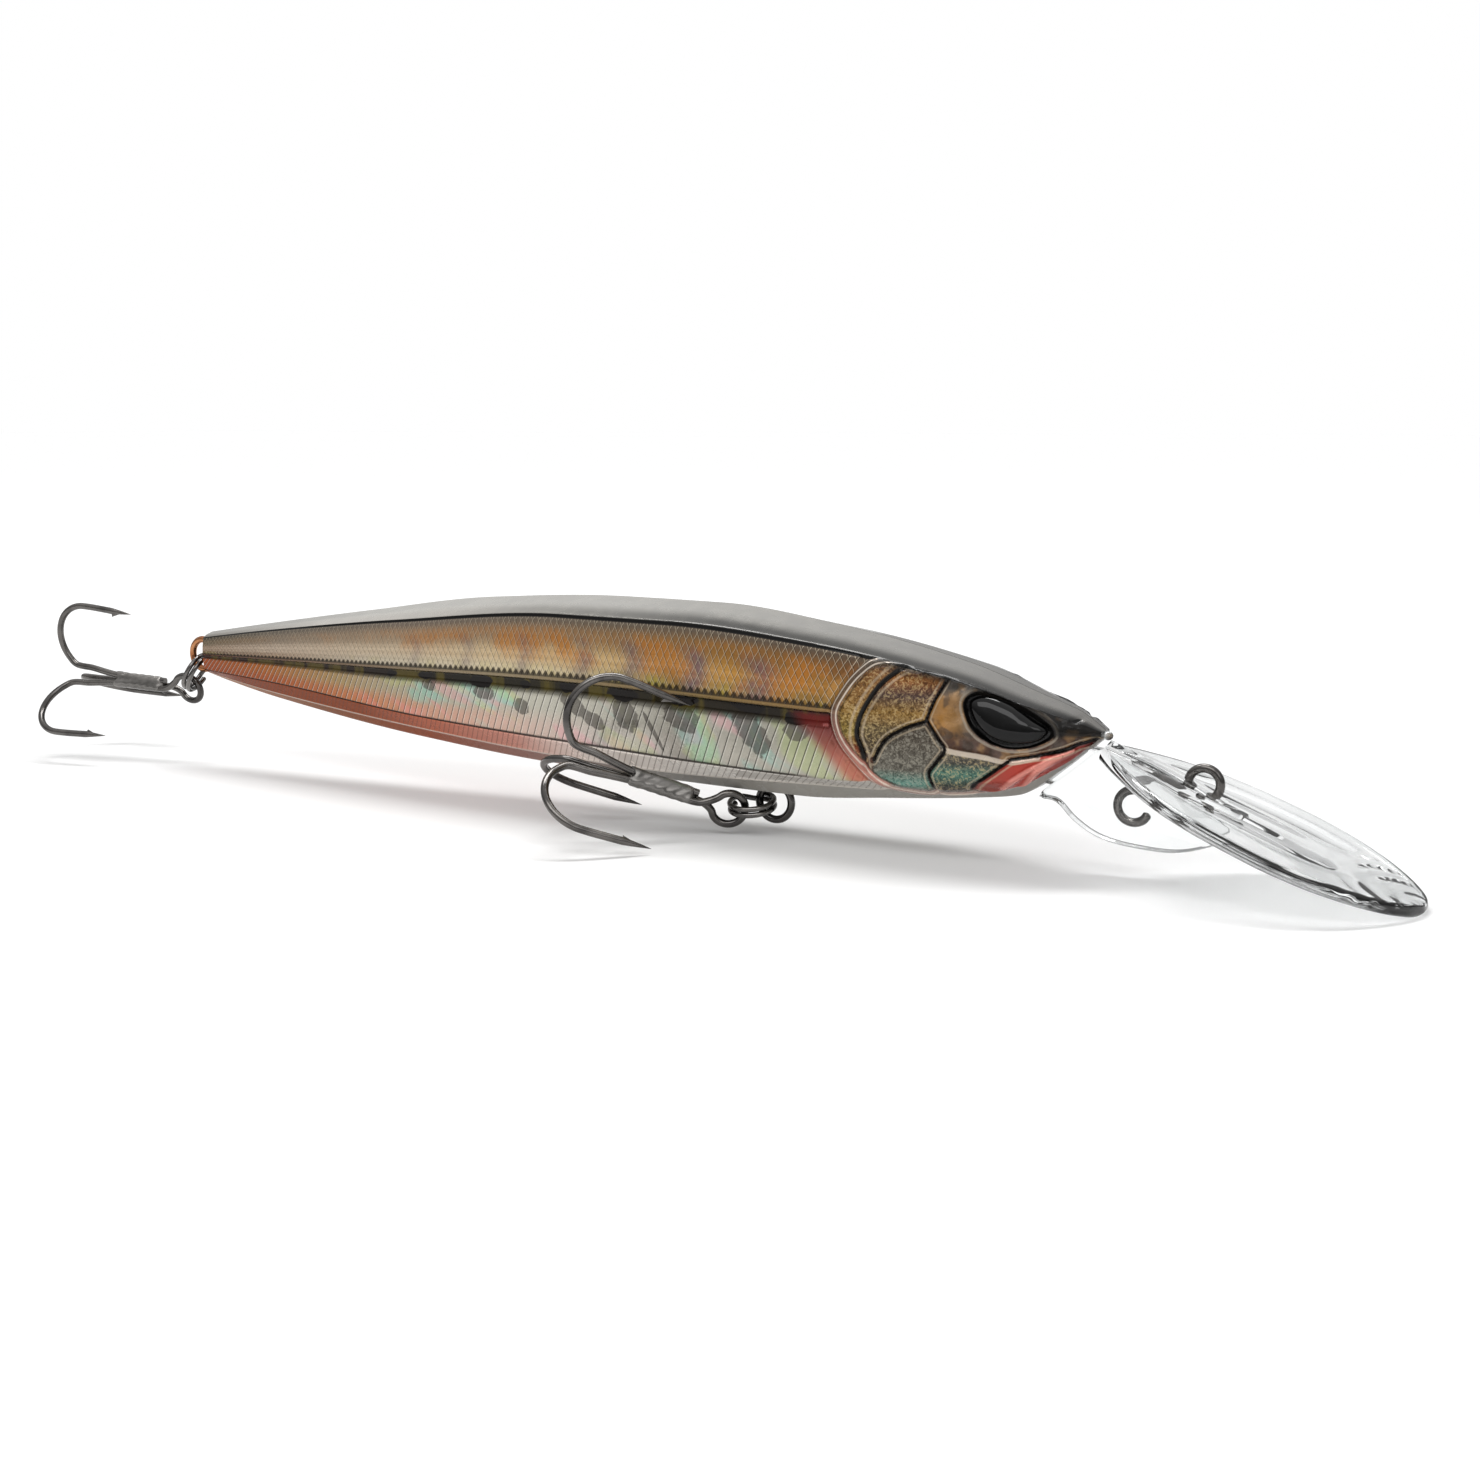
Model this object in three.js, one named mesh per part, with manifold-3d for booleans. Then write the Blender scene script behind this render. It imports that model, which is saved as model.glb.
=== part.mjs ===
// A long hard-bodied minnow lure (jerkbait with a deep diving lip), in millimetres, +Z up.
// Design frame: x runs from the tail face (0) to the nose (120), y = 0 is the parting plane,
// z = 0 is the surface the lure lies on. The whole group is moved at the end so that the
// origin is the centre of the footprint.
import * as THREE from 'three';
import { mergeVertices } from 'three/addons/utils/BufferGeometryUtils.js';
import Module from 'manifold-3d';

const wasm = await Module();
wasm.setup();

// ---------- driving dimensions ----------
const BODY_LENGTH = 120;
const WALL = 1.2;                 // moulded wall of each body half
const SEAM = 0.1;                 // gap between the two halves
const FIT = 0.15;                 // clearance round a piece that is held in the plastic
const CAVITY = [9, 104];          // the body is hollow between these two stations
const FOIL_GAP = 0.2;             // foil to the wall in front of it
const FOIL_THICK = 0.35;
const FLANK_FOIL = [14, 88];      // stations between which each foil runs
const GILL_FOIL = [91.5, 103.4];

// Heights of the edges that run along the body, as [x, z] points, and its half width [x, y].
const HALF_WIDTH = [[0, 1.8], [20, 3.4], [40, 5.0], [60, 6.3], [80, 7.0], [95, 7.2], [105, 6.6], [112, 5.2],
  [117, 3.4], [120, 1.2]];
const RIDGE = [[0, 16.6], [8, 17.9], [28, 20.9], [46, 23.3], [64, 24.2], [77, 24.1], [91, 22.5], [106, 19.4],
  [113, 17.0], [118, 15.2], [120, 13.8]];
const ROOF_EDGE = [[0, 16.0], [12, 17.7], [35, 20.4], [59, 22.4], [73, 22.4], [91, 21.1], [106, 18.6],
  [113, 16.3], [118, 14.6], [120, 13.6]];
const WAIST = [[0, 13.9], [27, 14.6], [60, 15.3], [83, 14.8], [105, 14.2], [117, 13.7], [120, 13.3]];
const LOWER_EDGE = [[0, 12.0], [14, 11.2], [38, 9.1], [59, 8.2], [91, 7.2], [107, 8.0], [112, 8.8],
  [116, 10.8], [120, 13.1]];
const STRIP_EDGE = [[0, 11.8], [12, 10.0], [38, 7.5], [58, 6.2], [72, 5.8], [91, 6.3], [104, 6.7], [111, 7.7],
  [116, 10.1], [120, 13.0]];
const BELLY = [[0, 11.6], [4, 10.7], [13, 9.1], [36, 6.3], [57, 4.9], [88, 4.4], [98, 5.2], [108, 6.2],
  [112, 6.8], [116, 9.5], [120, 12.9]];
const STATIONS = [0, 3, 9, 16, 24, 32, 40, 48, 56, 64, 72, 80, 88, 96, 100, 104, 107, 110, 113, 115.5, 117.5,
  119, BODY_LENGTH];
// Each section corner: share of the half width, edge height, and how it moves inward per unit of wall.
const CORNERS = [
  { share: 0, edge: RIDGE, inward: [0, -1] },
  { share: 0.5, edge: RIDGE, drop: 0.42, towards: ROOF_EDGE, inward: [-0.1, -1] },
  { share: 0.85, edge: ROOF_EDGE, inward: [-0.7, -0.75] },
  { share: 0.96, edge: ROOF_EDGE, drop: 0.5, towards: WAIST, inward: [-1, -0.1] },
  { share: 1, edge: WAIST, inward: [-1, 0] },
  { share: 0.955, edge: WAIST, drop: 0.5, towards: LOWER_EDGE, inward: [-1, 0.1] },
  { share: 0.85, edge: LOWER_EDGE, inward: [-0.95, 0.5] },
  { share: 0.6, edge: STRIP_EDGE, inward: [-0.5, 0.9] },
  { share: 0.38, edge: BELLY, inward: [-0.15, 1] },
  { share: 0, edge: BELLY, inward: [0, 1] },
];
const FOIL_CORNERS = [2, 3, 4, 5, 6];

// Bulkheads inside each half: station, thickness along x, top height.
const RIBS = [
  { x: 50, thick: 1.6, top: 30 },
  { x: 56.4, thick: 1.2, top: 10 },
  { x: 76.6, thick: 1.2, top: 10 },
  { x: 90, thick: 1.6, top: 30 },
];
const HANGER_BOSS = { x: [79.8, 86.8], halfWidth: 2.4, top: 9.6 };

// Weight transfer system: a tube with three balls and a holding magnet.
const TUBE = { x: [47, 93], z: 14.6, outer: 3.2, inner: 2.65 };
const BALL_RADIUS = 2.5;
const MAGNET = { length: 2, radius: 2.4 };
const CAP_DEPTH = 1.6;
const CAP_PLAY = 0.2;
const BALL_PLAY = 0.1;
const BALLAST = { x: [57.4, 75.6], halfWidth: 2.6, z: [6.5, 9.4] };

// Wires.
const HOOK_WIRE = 0.42;
const RING_WIRE = 0.3;
const RING_RADIUS = 2.4;
const HANGER_WIRE = 0.43;
const TIE_WIRE = 0.45;
const COIL_GAP = 0.08;            // between the two coils of a split ring
const RING_SWEEP = [30, 690];     // degrees of wire in a split ring
const RING_CROSSOVER = [330, 390];
const HANGER_STEPS = 34;          // steps along each wire
const TIE_STEPS = 36;
const HOOK_STEPS = 24;
const DOUBLE_STEPS = 60;
const RING_STEPS = 32;

// Hook hangers: loop centre and radius, way the legs go, and their length.
const BELLY_HANGER = { x: 83.4, z: 2.9, radius: 1.95, heading: Math.PI / 2, length: 5.9 };
const TAIL_HANGER = { x: -0.9, z: 13.7, radius: 1.92, heading: 0, length: 7.2 };
const HANGER_LEG = 0.62;          // each leg from the middle of the hanger
const HANGER_TURN = 0.95;         // bend radius of the feet
const HANGER_FOOT = 0.8;

// Treble hook, measured from the centre of its eye along the shank.
const TREBLE = { start: 3.6, junction: 11.5, reach: 19.8, gap: 9.75, eye: 1.82, shankSpread: 0.57 };
const HOOK_BEND = [-72, 96];      // degrees round the bend
const HOOK_POINT = 2.4;
const BRAZE_SLEEVE = { x: [3.9, 11.2], radius: 1.06 };
const BRAZE_FIT = 0.08;

// Diving lip: paddle outline [distance from the nose, half width], pitch and thickness.
const LIP_ROOT = new THREE.Vector3(119.9, 0, 12.5);
const LIP_PITCH = THREE.MathUtils.degToRad(21.4);
const LIP_THICK = 1.3;
const LIP_BEVEL = 0.45;
const LIP_OUTLINE = [[1, 2.2], [3, 4.4], [7, 7.6], [11, 9.5], [15, 10.3], [19, 10.5], [23, 9.9], [27, 8.2],
  [30, 5.9], [32, 3.4], [33, 1.2]];
const KEEL = [[113.7, 6.7], [115.4, 6.3], [117.3, 4.6], [119.8, 3.2], [124, 2.5], [128.6, 2.7], [133.6, 5.2],
  [133, 7.0], [120.5, 12.1], [117.6, 10.2]];
const KEEL_THICK = 2.2;
const TONGUE = [[106.5, 9.2], [113.5, 8.2], [119, 7.5], [121.5, 11.2], [117.4, 12.1], [106.5, 12.4]];
const TONGUE_THICK = 2.2;

// The line tie wire: an open loop moulded into the keel, a leg through the paddle and the eye above it.
const TIE_ANCHOR = { x: 123.2, z: 6.6, radius: 1.6 };
const TIE_EYE = { x: 129.9, z: 9.35, radius: 1.55 };
const TIE_LEG = [[125.6, 8.5], [127.3, 8.1]];
const TIE_END = [[129.6, 7.35], [128.9, 7.1]];

// Eyes: a foil disc and a dome in a socket.
const EYE_SIDES = 22;
const EYE = {
  centre: [111.3, 4.8, 14.7],
  half: [4.0, 2.5],
  yaw: 15,
  pitch: 13,
  sink: 0.9,
  foil: 0.35,
  gap: 0.1,
  rim: 0.45,
  dome: 0.95,
};

// ---------- helpers ----------
const group = new THREE.Group();

function smooth(points) {
  // Monotone cubic through [x, value] points.
  const n = points.length;
  const slope = [];
  for (let i = 0; i < n - 1; i++) {
    slope.push((points[i + 1][1] - points[i][1]) / (points[i + 1][0] - points[i][0]));
  }
  const tangent = points.map((_, i) => {
    if (i === 0) return slope[0];
    if (i === n - 1) return slope[n - 2];
    return slope[i - 1] * slope[i] <= 0 ? 0 : (2 * slope[i - 1] * slope[i]) / (slope[i - 1] + slope[i]);
  });
  return (x) => {
    let i = 0;
    while (i < n - 2 && x > points[i + 1][0]) i++;
    const h = points[i + 1][0] - points[i][0];
    const t = THREE.MathUtils.clamp((x - points[i][0]) / h, 0, 1);
    const a = 2 * t ** 3 - 3 * t ** 2 + 1;
    const b = t ** 3 - 2 * t ** 2 + t;
    const c = -2 * t ** 3 + 3 * t ** 2;
    const d = t ** 3 - t ** 2;
    return a * points[i][1] + b * h * tangent[i] + c * points[i + 1][1] + d * h * tangent[i + 1];
  };
}

const halfWidth = smooth(HALF_WIDTH);
const edgeHeights = new Map();
for (const edge of [RIDGE, ROOF_EDGE, WAIST, LOWER_EDGE, STRIP_EDGE, BELLY]) {
  edgeHeights.set(edge, smooth(edge));
}

function corner(spec, x, inset) {
  const z0 = edgeHeights.get(spec.edge)(x);
  const z1 = spec.towards ? edgeHeights.get(spec.towards)(x) : z0;
  const z = z0 + (z1 - z0) * (spec.drop ?? 0);
  return [spec.share * halfWidth(x) + spec.inward[0] * inset, z + spec.inward[1] * inset];
}

function sealed(geometry) {
  // Merge equal positions and make the faces point outwards.
  const copy = geometry.clone();
  for (const name of Object.keys(copy.attributes)) {
    if (name !== 'position') copy.deleteAttribute(name);
  }
  const merged = mergeVertices(copy, 1e-5);
  const p = merged.attributes.position;
  const index = merged.index.array;
  const a = new THREE.Vector3();
  const b = new THREE.Vector3();
  const c = new THREE.Vector3();
  let volume = 0;
  for (let i = 0; i < index.length; i += 3) {
    a.fromBufferAttribute(p, index[i]);
    b.fromBufferAttribute(p, index[i + 1]);
    c.fromBufferAttribute(p, index[i + 2]);
    volume += a.dot(b.cross(c));
  }
  if (volume < 0) {
    for (let i = 0; i < index.length; i += 3) [index[i], index[i + 1]] = [index[i + 1], index[i]];
  }
  return merged;
}

function solid(geometry) {
  const merged = sealed(geometry);
  return new wasm.Manifold(new wasm.Mesh({
    numProp: 3,
    vertProperties: new Float32Array(merged.attributes.position.array),
    triVerts: new Uint32Array(merged.index.array),
  }));
}

function toGeometry(manifold) {
  const mesh = manifold.getMesh();
  const geometry = new THREE.BufferGeometry();
  geometry.setAttribute('position', new THREE.BufferAttribute(new Float32Array(mesh.vertProperties), 3));
  geometry.setIndex(new THREE.BufferAttribute(new Uint32Array(mesh.triVerts), 1));
  return geometry;
}

function join(...geometries) {
  return geometries.map(solid).reduce((all, next) => all.add(next));
}

function loft(rings) {
  // Closed solid through rings of the same number of points, capped at both ends.
  const size = rings[0].length;
  const positions = rings.flat().flatMap((v) => [v.x, v.y, v.z]);
  const index = [];
  for (let r = 0; r < rings.length - 1; r++) {
    for (let i = 0; i < size; i++) {
      const j = (i + 1) % size;
      const a = r * size + i;
      const b = r * size + j;
      index.push(a, b, b + size, a, b + size, a + size);
    }
  }
  for (const [ring, turned] of [[0, true], [rings.length - 1, false]]) {
    const flat = rings[ring].map((v) => new THREE.Vector2(v.y, v.z));
    const ringWay = Math.sign(THREE.ShapeUtils.area(flat));
    for (const corners of THREE.ShapeUtils.triangulateShape(flat, [])) {
      const faceWay = Math.sign(THREE.ShapeUtils.area(corners.map((k) => flat[k])));
      const face = corners.map((k) => ring * size + k);
      index.push(...((faceWay === ringWay) === turned ? face.reverse() : face));
    }
  }
  const geometry = new THREE.BufferGeometry();
  geometry.setAttribute('position', new THREE.Float32BufferAttribute(positions, 3));
  geometry.setIndex(index);
  return geometry;
}

function box(x, y, z) {
  const geometry = new THREE.BoxGeometry(x[1] - x[0], y[1] - y[0], z[1] - z[0]);
  return geometry.translate((x[0] + x[1]) / 2, (y[0] + y[1]) / 2, (z[0] + z[1]) / 2);
}

function rod(radius, length, sides = 24) {
  // Round bar along +x, starting at the origin.
  const bar = new THREE.CylinderGeometry(radius, radius, length, sides);
  return bar.rotateZ(-Math.PI / 2).translate(length / 2, 0, 0);
}

function tube(path, radius, steps, sides = 8) {
  const section = Array.from({ length: sides }, (_, i) => {
    const angle = (2 * Math.PI * (i + 0.5)) / sides;
    return new THREE.Vector2(radius * Math.cos(angle), radius * Math.sin(angle));
  });
  const options = { steps, extrudePath: path, bevelEnabled: false };
  return new THREE.ExtrudeGeometry(new THREE.Shape(section), options);
}

function extrusion(thickness, bevel) {
  // Extrusion of that full thickness whose bevels stay inside the outline.
  return {
    depth: thickness - 2 * bevel,
    steps: 1,
    bevelEnabled: bevel > 0,
    bevelSize: bevel,
    bevelThickness: bevel,
    bevelOffset: -bevel,
    bevelSegments: 2,
  };
}

function plate(outline, thickness, bevel = 0) {
  // Plate with its outline in the XZ plane, centred on y = 0.
  const shape = new THREE.Shape(outline.map(([x, z]) => new THREE.Vector2(x, z)));
  const solidPlate = new THREE.ExtrudeGeometry(shape, extrusion(thickness, bevel));
  return solidPlate.translate(0, 0, bevel - thickness / 2).rotateX(Math.PI / 2);
}

function finish(colour, roughness, metalness, opacity = 1) {
  const transparent = opacity < 1;
  return new THREE.MeshStandardMaterial({ color: colour, roughness, metalness, opacity, transparent });
}

const BLACK_NICKEL = finish(0x5a5a5c, 0.25, 1);
const STAINLESS = finish(0x8f8f90, 0.22, 1);
const CLEAR = finish(0xe4e6e6, 0.05, 0, 0.35);

function piece(name, shape, material) {
  const geometry = shape.isBufferGeometry ? sealed(shape) : toGeometry(shape);
  geometry.computeVertexNormals();
  const mesh = new THREE.Mesh(geometry, material);
  mesh.name = name;
  group.add(mesh);
  return mesh;
}

// ---------- wire paths ----------
function arc(cx, cz, radius, from, to, count) {
  // Points of an arc in the XZ plane, angles in degrees.
  return Array.from({ length: count + 1 }, (_, i) => {
    const angle = THREE.MathUtils.degToRad(from + ((to - from) * i) / count);
    return [cx + radius * Math.cos(angle), cz + radius * Math.sin(angle)];
  });
}

function spline(points) {
  return new THREE.CatmullRomCurve3(points, false, 'centripetal');
}

function flatPath(points) {
  return spline(points.map(([x, z]) => new THREE.Vector3(x, 0, z)));
}

function hangerPath({ x, z, radius, heading, length }) {
  // Loop with two legs that run into the plastic and turn out into feet. Local +x is the way the legs go.
  const leg = HANGER_LEG;
  const turn = HANGER_TURN;
  const neck = Math.sqrt(radius ** 2 - leg ** 2);
  const half = arc(0, 0, radius, 180, 36, 7).slice(1);
  const legs = [[neck + 0.75, leg + 0.04], [length - turn - 0.9, leg]];
  const foot = arc(length - turn, leg + turn, turn, -90, 0, 3);
  const upper = [...half, ...legs, ...foot, [length, leg + turn + HANGER_FOOT]];
  const lower = [...upper].reverse().map(([u, v]) => [u, -v]);
  const local = [...lower, [-radius, 0], ...upper];
  const c = Math.cos(heading);
  const s = Math.sin(heading);
  return flatPath(local.map(([u, v]) => [x + u * c - v * s, z + u * s + v * c]));
}

// ---------- rings and hooks ----------
function basis(origin, x, y, z) {
  return new THREE.Matrix4().makeBasis(x, y, z).setPosition(origin);
}

class SplitRingCurve extends THREE.Curve {
  // Wire of two coils side by side, which cross over once at angle 0.
  getPoint(t) {
    const turned = THREE.MathUtils.lerp(...RING_SWEEP, t);
    const angle = THREE.MathUtils.degToRad(turned);
    const step = THREE.MathUtils.smoothstep(turned, ...RING_CROSSOVER);
    const offset = (RING_WIRE + COIL_GAP / 2) * (2 * step - 1);
    return new THREE.Vector3(RING_RADIUS * Math.cos(angle), RING_RADIUS * Math.sin(angle), offset);
  }
}

function splitRing(name, place) {
  piece(name, tube(new SplitRingCurve(), RING_WIRE, RING_STEPS).applyMatrix4(place), STAINLESS);
}

function hookBend() {
  // One hook in its own plane: x along the shank from the eye, z away from the shank.
  const bend = (TREBLE.gap - TREBLE.shankSpread) / 2;
  const centre = [TREBLE.reach - bend, TREBLE.shankSpread + bend];
  const round = arc(...centre, bend, ...HOOK_BEND, 10);
  const point = [centre[0] - bend * 1.15, centre[1] + bend * 0.93];
  return { round, point };
}

function hookWire(angle) {
  // Wire of one hook from its shank to its point, turned about the shank.
  const { round, point } = hookBend();
  const shank = TREBLE.shankSpread;
  const splay = [[TREBLE.junction - 0.4, shank + 0.02], [TREBLE.junction + 1.7, shank + 0.5]];
  return turned([[TREBLE.start, shank], [TREBLE.junction - 3, shank], ...splay, ...round, point], angle);
}

function turned(points, angle) {
  // Turn [x, radial] points about the shank by an angle from its up direction (z), towards -y.
  return points.map(([x, r]) => new THREE.Vector3(x, -r * Math.sin(angle), r * Math.cos(angle)));
}

function hookPoint(points) {
  // Sharp cone on the end of a wire.
  const end = points[points.length - 1];
  const way = end.clone().sub(points[points.length - 2]).normalize();
  const turn = new THREE.Quaternion().setFromUnitVectors(new THREE.Vector3(0, 1, 0), way);
  const cone = new THREE.ConeGeometry(HOOK_WIRE, HOOK_POINT, 8).translate(0, HOOK_POINT / 2 - 0.15, 0);
  return cone.applyQuaternion(turn).translate(end.x, end.y, end.z);
}

const THIRD = (2 * Math.PI) / 3;

function treble(prefix, place) {
  // Two hooks bent from one wire round the eye, and a third hook brazed to them.
  const single = hookWire(0);
  const first = hookWire(-THIRD);
  const second = hookWire(THIRD);
  // The eye stands in the plane of the single hook: its wire leaves one shank wire and returns to the other.
  const loop = arc(0, 0, TREBLE.eye, 28, 332, 12).map(([x, z]) => new THREE.Vector3(x, 0, z));
  const spread = TREBLE.shankSpread * Math.sin(THIRD);
  const low = -TREBLE.shankSpread * 0.5;
  loop.forEach((v, i) => {
    const t = i / (loop.length - 1);
    v.y = THREE.MathUtils.lerp(spread, -spread, THREE.MathUtils.smoothstep(t, 0, 1));
  });
  const lead = new THREE.Vector3(2.75, spread, low + 0.28);
  const back = new THREE.Vector3(2.55, -spread, low - 0.12);
  const wire = [...[...first].reverse(), lead, ...loop, back, ...second];
  const double = join(tube(spline(wire), HOOK_WIRE, DOUBLE_STEPS), hookPoint(first), hookPoint(second));
  const sleeveLength = BRAZE_SLEEVE.x[1] - BRAZE_SLEEVE.x[0];
  const sleeve = rod(BRAZE_SLEEVE.radius, sleeveLength, 16).translate(BRAZE_SLEEVE.x[0], 0, 0);
  const cut = join(...[first, second].map((way) => tube(spline(way), HOOK_WIRE + BRAZE_FIT, HOOK_STEPS)));
  const third = join(tube(spline(single), HOOK_WIRE, HOOK_STEPS), hookPoint(single), sleeve).subtract(cut);
  piece(`${prefix}_treble_double_hook`, toGeometry(double).applyMatrix4(place), BLACK_NICKEL);
  piece(`${prefix}_treble_single_hook`, toGeometry(third).applyMatrix4(place), BLACK_NICKEL);
}

function treblePlace(eye, yaw, pitch, roll) {
  // Yaw turns the bends towards -y, pitch lifts them, and a negative roll leans the single hook towards -y.
  const level = Math.cos(pitch);
  const shank = new THREE.Vector3(-Math.cos(yaw) * level, -Math.sin(yaw) * level, Math.sin(pitch));
  const up = new THREE.Vector3(0, 0, 1);
  up.addScaledVector(shank, -up.dot(shank)).normalize();
  up.applyAxisAngle(shank, roll);
  return basis(eye, shank, up.clone().cross(shank), up);
}

// ---------- body halves ----------
function sectionRing(x, side, inset, middle) {
  // Half section at a station, closed along the plane y = middle.
  const outline = CORNERS.map((spec) => corner(spec, x, inset));
  outline[0][0] = middle;
  outline[outline.length - 1][0] = middle;
  return outline.map(([y, z]) => new THREE.Vector3(x, side * Math.max(y, middle), z));
}

function innerStations(from, to) {
  return [from, ...STATIONS.filter((x) => x > from + 0.5 && x < to - 0.5), to];
}

const bellyHangerPath = hangerPath(BELLY_HANGER);
const tailHangerPath = hangerPath(TAIL_HANGER);
const tubeLength = TUBE.x[1] - TUBE.x[0];

function eyePlace(side) {
  // Frame on the cheek: local y points out of the flank, x forwards along the eye.
  const yaw = THREE.MathUtils.degToRad(EYE.yaw);
  const pitch = THREE.MathUtils.degToRad(EYE.pitch);
  const out = new THREE.Vector3(Math.sin(yaw), side * Math.cos(yaw), 0);
  const along = new THREE.Vector3(Math.cos(yaw), -side * Math.sin(yaw), 0).multiplyScalar(Math.cos(pitch));
  along.z = -Math.sin(pitch);
  return basis(new THREE.Vector3(EYE.centre[0], side * EYE.centre[1], EYE.centre[2]), along, out,
    along.clone().cross(out));
}

function eyeDisc(grow, from, to) {
  // Elliptical disc between two distances from the eye's centre plane.
  const geometry = new THREE.CylinderGeometry(1, 1, to - from, EYE_SIDES).translate(0, (from + to) / 2, 0);
  return geometry.scale(EYE.half[0] + grow, 1, EYE.half[1] + grow);
}

function grown(outline, amount) {
  // Outline moved outwards from its middle, for a slot round a plate.
  const count = outline.length;
  const middle = outline.reduce((sum, [x, z]) => [sum[0] + x / count, sum[1] + z / count], [0, 0]);
  return outline.map(([x, z]) => {
    const length = Math.hypot(x - middle[0], z - middle[1]);
    const factor = (length + amount) / length;
    return [middle[0] + (x - middle[0]) * factor, middle[1] + (z - middle[1]) * factor];
  });
}

function bodyHalf(side) {
  const outer = solid(loft(STATIONS.map((x) => sectionRing(x, side, 0, SEAM / 2))));
  const cavity = solid(loft(innerStations(...CAVITY).map((x) => sectionRing(x, side, WALL, -1))));
  const inboard = (reach) => (side > 0 ? [0, reach] : [-reach, 0]);
  let half = outer.subtract(cavity);
  for (const rib of RIBS) {
    const span = [rib.x - rib.thick / 2, rib.x + rib.thick / 2];
    const slab = box(span, inboard(0.5 * (halfWidth(rib.x) - WALL)), [0, rib.top]);
    half = half.add(solid(slab).intersect(outer));
  }
  const boss = box(HANGER_BOSS.x, inboard(HANGER_BOSS.halfWidth), [0, HANGER_BOSS.top]);
  half = half.add(solid(boss).intersect(outer));
  const pocket = TUBE.x[0] - CAP_DEPTH - FIT;
  const cuts = [
    tube(bellyHangerPath, HANGER_WIRE + FIT, HANGER_STEPS),
    tube(tailHangerPath, HANGER_WIRE + FIT, HANGER_STEPS),
    rod(TUBE.outer + FIT, tubeLength + 2 * (CAP_DEPTH + FIT), 24).translate(pocket, 0, TUBE.z),
    box([BALLAST.x[0] - FIT, BALLAST.x[1] + FIT], [-BALLAST.halfWidth - FIT, BALLAST.halfWidth + FIT],
      [BALLAST.z[0] - FIT, BALLAST.z[1] + 1]),
    plate(grown(TONGUE, 2.5 * FIT), TONGUE_THICK + 2 * FIT),
    plate(grown(KEEL, 2.5 * FIT), KEEL_THICK + 2 * FIT),
    eyeDisc(FIT, -EYE.sink, 4).applyMatrix4(eyePlace(side)),
  ];
  return cuts.map(solid).reduce((rest, cut) => rest.subtract(cut), half);
}

const SHELL_FINISH = finish(0x9c8a72, 0.18, 0.1);
piece('body_shell_left', bodyHalf(1), SHELL_FINISH);
piece('body_shell_right', bodyHalf(-1), SHELL_FINISH);

function foil(name, side, from, to, colour) {
  // Thin embossed sheet that follows the inside of the flank.
  const rings = innerStations(from, to).map((x) => {
    const skin = (inset) => FOIL_CORNERS.map((i) => corner(CORNERS[i], x, inset));
    const front = skin(WALL + FOIL_GAP);
    const back = skin(WALL + FOIL_GAP + FOIL_THICK).reverse();
    return [...front, ...back].map(([y, z]) => new THREE.Vector3(x, side * y, z));
  });
  piece(name, loft(rings), finish(colour, 0.25, 0.8));
}

for (const [side, name] of [[1, 'left'], [-1, 'right']]) {
  foil(`flank_foil_${name}`, side, ...FLANK_FOIL, 0xb08a5a);
  foil(`gill_foil_${name}`, side, ...GILL_FOIL, 0x9a7a45);
}

// ---------- eyes ----------
for (const [side, name] of [[1, 'left'], [-1, 'right']]) {
  const place = eyePlace(side);
  const low = -EYE.sink + FIT;
  const disc = eyeDisc(-0.05, low, low + EYE.foil).applyMatrix4(place);
  piece(`eye_foil_${name}`, disc, finish(0x1c1c1e, 0.2, 0.6));
  const base = low + EYE.foil + EYE.gap;
  const rim = base + EYE.rim;
  const rounded = Array.from({ length: 4 }, (_, i) => {
    const angle = ((i + 1) / 4) * (Math.PI / 2);
    return [i === 3 ? 0 : Math.cos(angle), rim + EYE.dome * Math.sin(angle)];
  });
  const profile = [[0, base], [1, base], [1, rim], ...rounded].map(([r, y]) => new THREE.Vector2(r, y));
  const dome = new THREE.LatheGeometry(profile, EYE_SIDES).scale(EYE.half[0] - 0.05, 1, EYE.half[1] - 0.05);
  piece(`eye_dome_${name}`, dome.applyMatrix4(place), finish(0x0a0a0b, 0.04, 0));
}

// ---------- diving lip and line tie ----------
function paddle() {
  const near = LIP_OUTLINE.map(([s, w]) => new THREE.Vector2(s, w));
  const far = LIP_OUTLINE.map(([s, w]) => new THREE.Vector2(s, -w)).reverse();
  const outline = new THREE.Shape([...far, ...near]);
  const geometry = new THREE.ExtrudeGeometry(outline, extrusion(LIP_THICK, LIP_BEVEL));
  const place = new THREE.Matrix4().makeRotationY(LIP_PITCH).setPosition(LIP_ROOT);
  return geometry.translate(0, 0, LIP_BEVEL - LIP_THICK).applyMatrix4(place);
}

const tiePath = flatPath([
  ...arc(TIE_ANCHOR.x, TIE_ANCHOR.z, TIE_ANCHOR.radius, -20, -265, 8),
  ...TIE_LEG,
  ...arc(TIE_EYE.x, TIE_EYE.z, TIE_EYE.radius, 208, -72, 9),
  ...TIE_END,
]);
const lip = join(paddle(), plate(KEEL, KEEL_THICK, 0.3), plate(TONGUE, TONGUE_THICK))
  .subtract(solid(tube(tiePath, TIE_WIRE + 0.1, TIE_STEPS)));
piece('diving_lip', lip, CLEAR);
piece('line_tie_wire', tube(tiePath, TIE_WIRE, TIE_STEPS), BLACK_NICKEL);

// ---------- weight transfer system and ballast ----------
const bore = solid(rod(TUBE.inner, tubeLength + 2).translate(-1, 0, 0));
const weightTube = solid(rod(TUBE.outer, tubeLength)).subtract(bore);
piece('weight_tube', toGeometry(weightTube).translate(TUBE.x[0], 0, TUBE.z), CLEAR);

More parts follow.
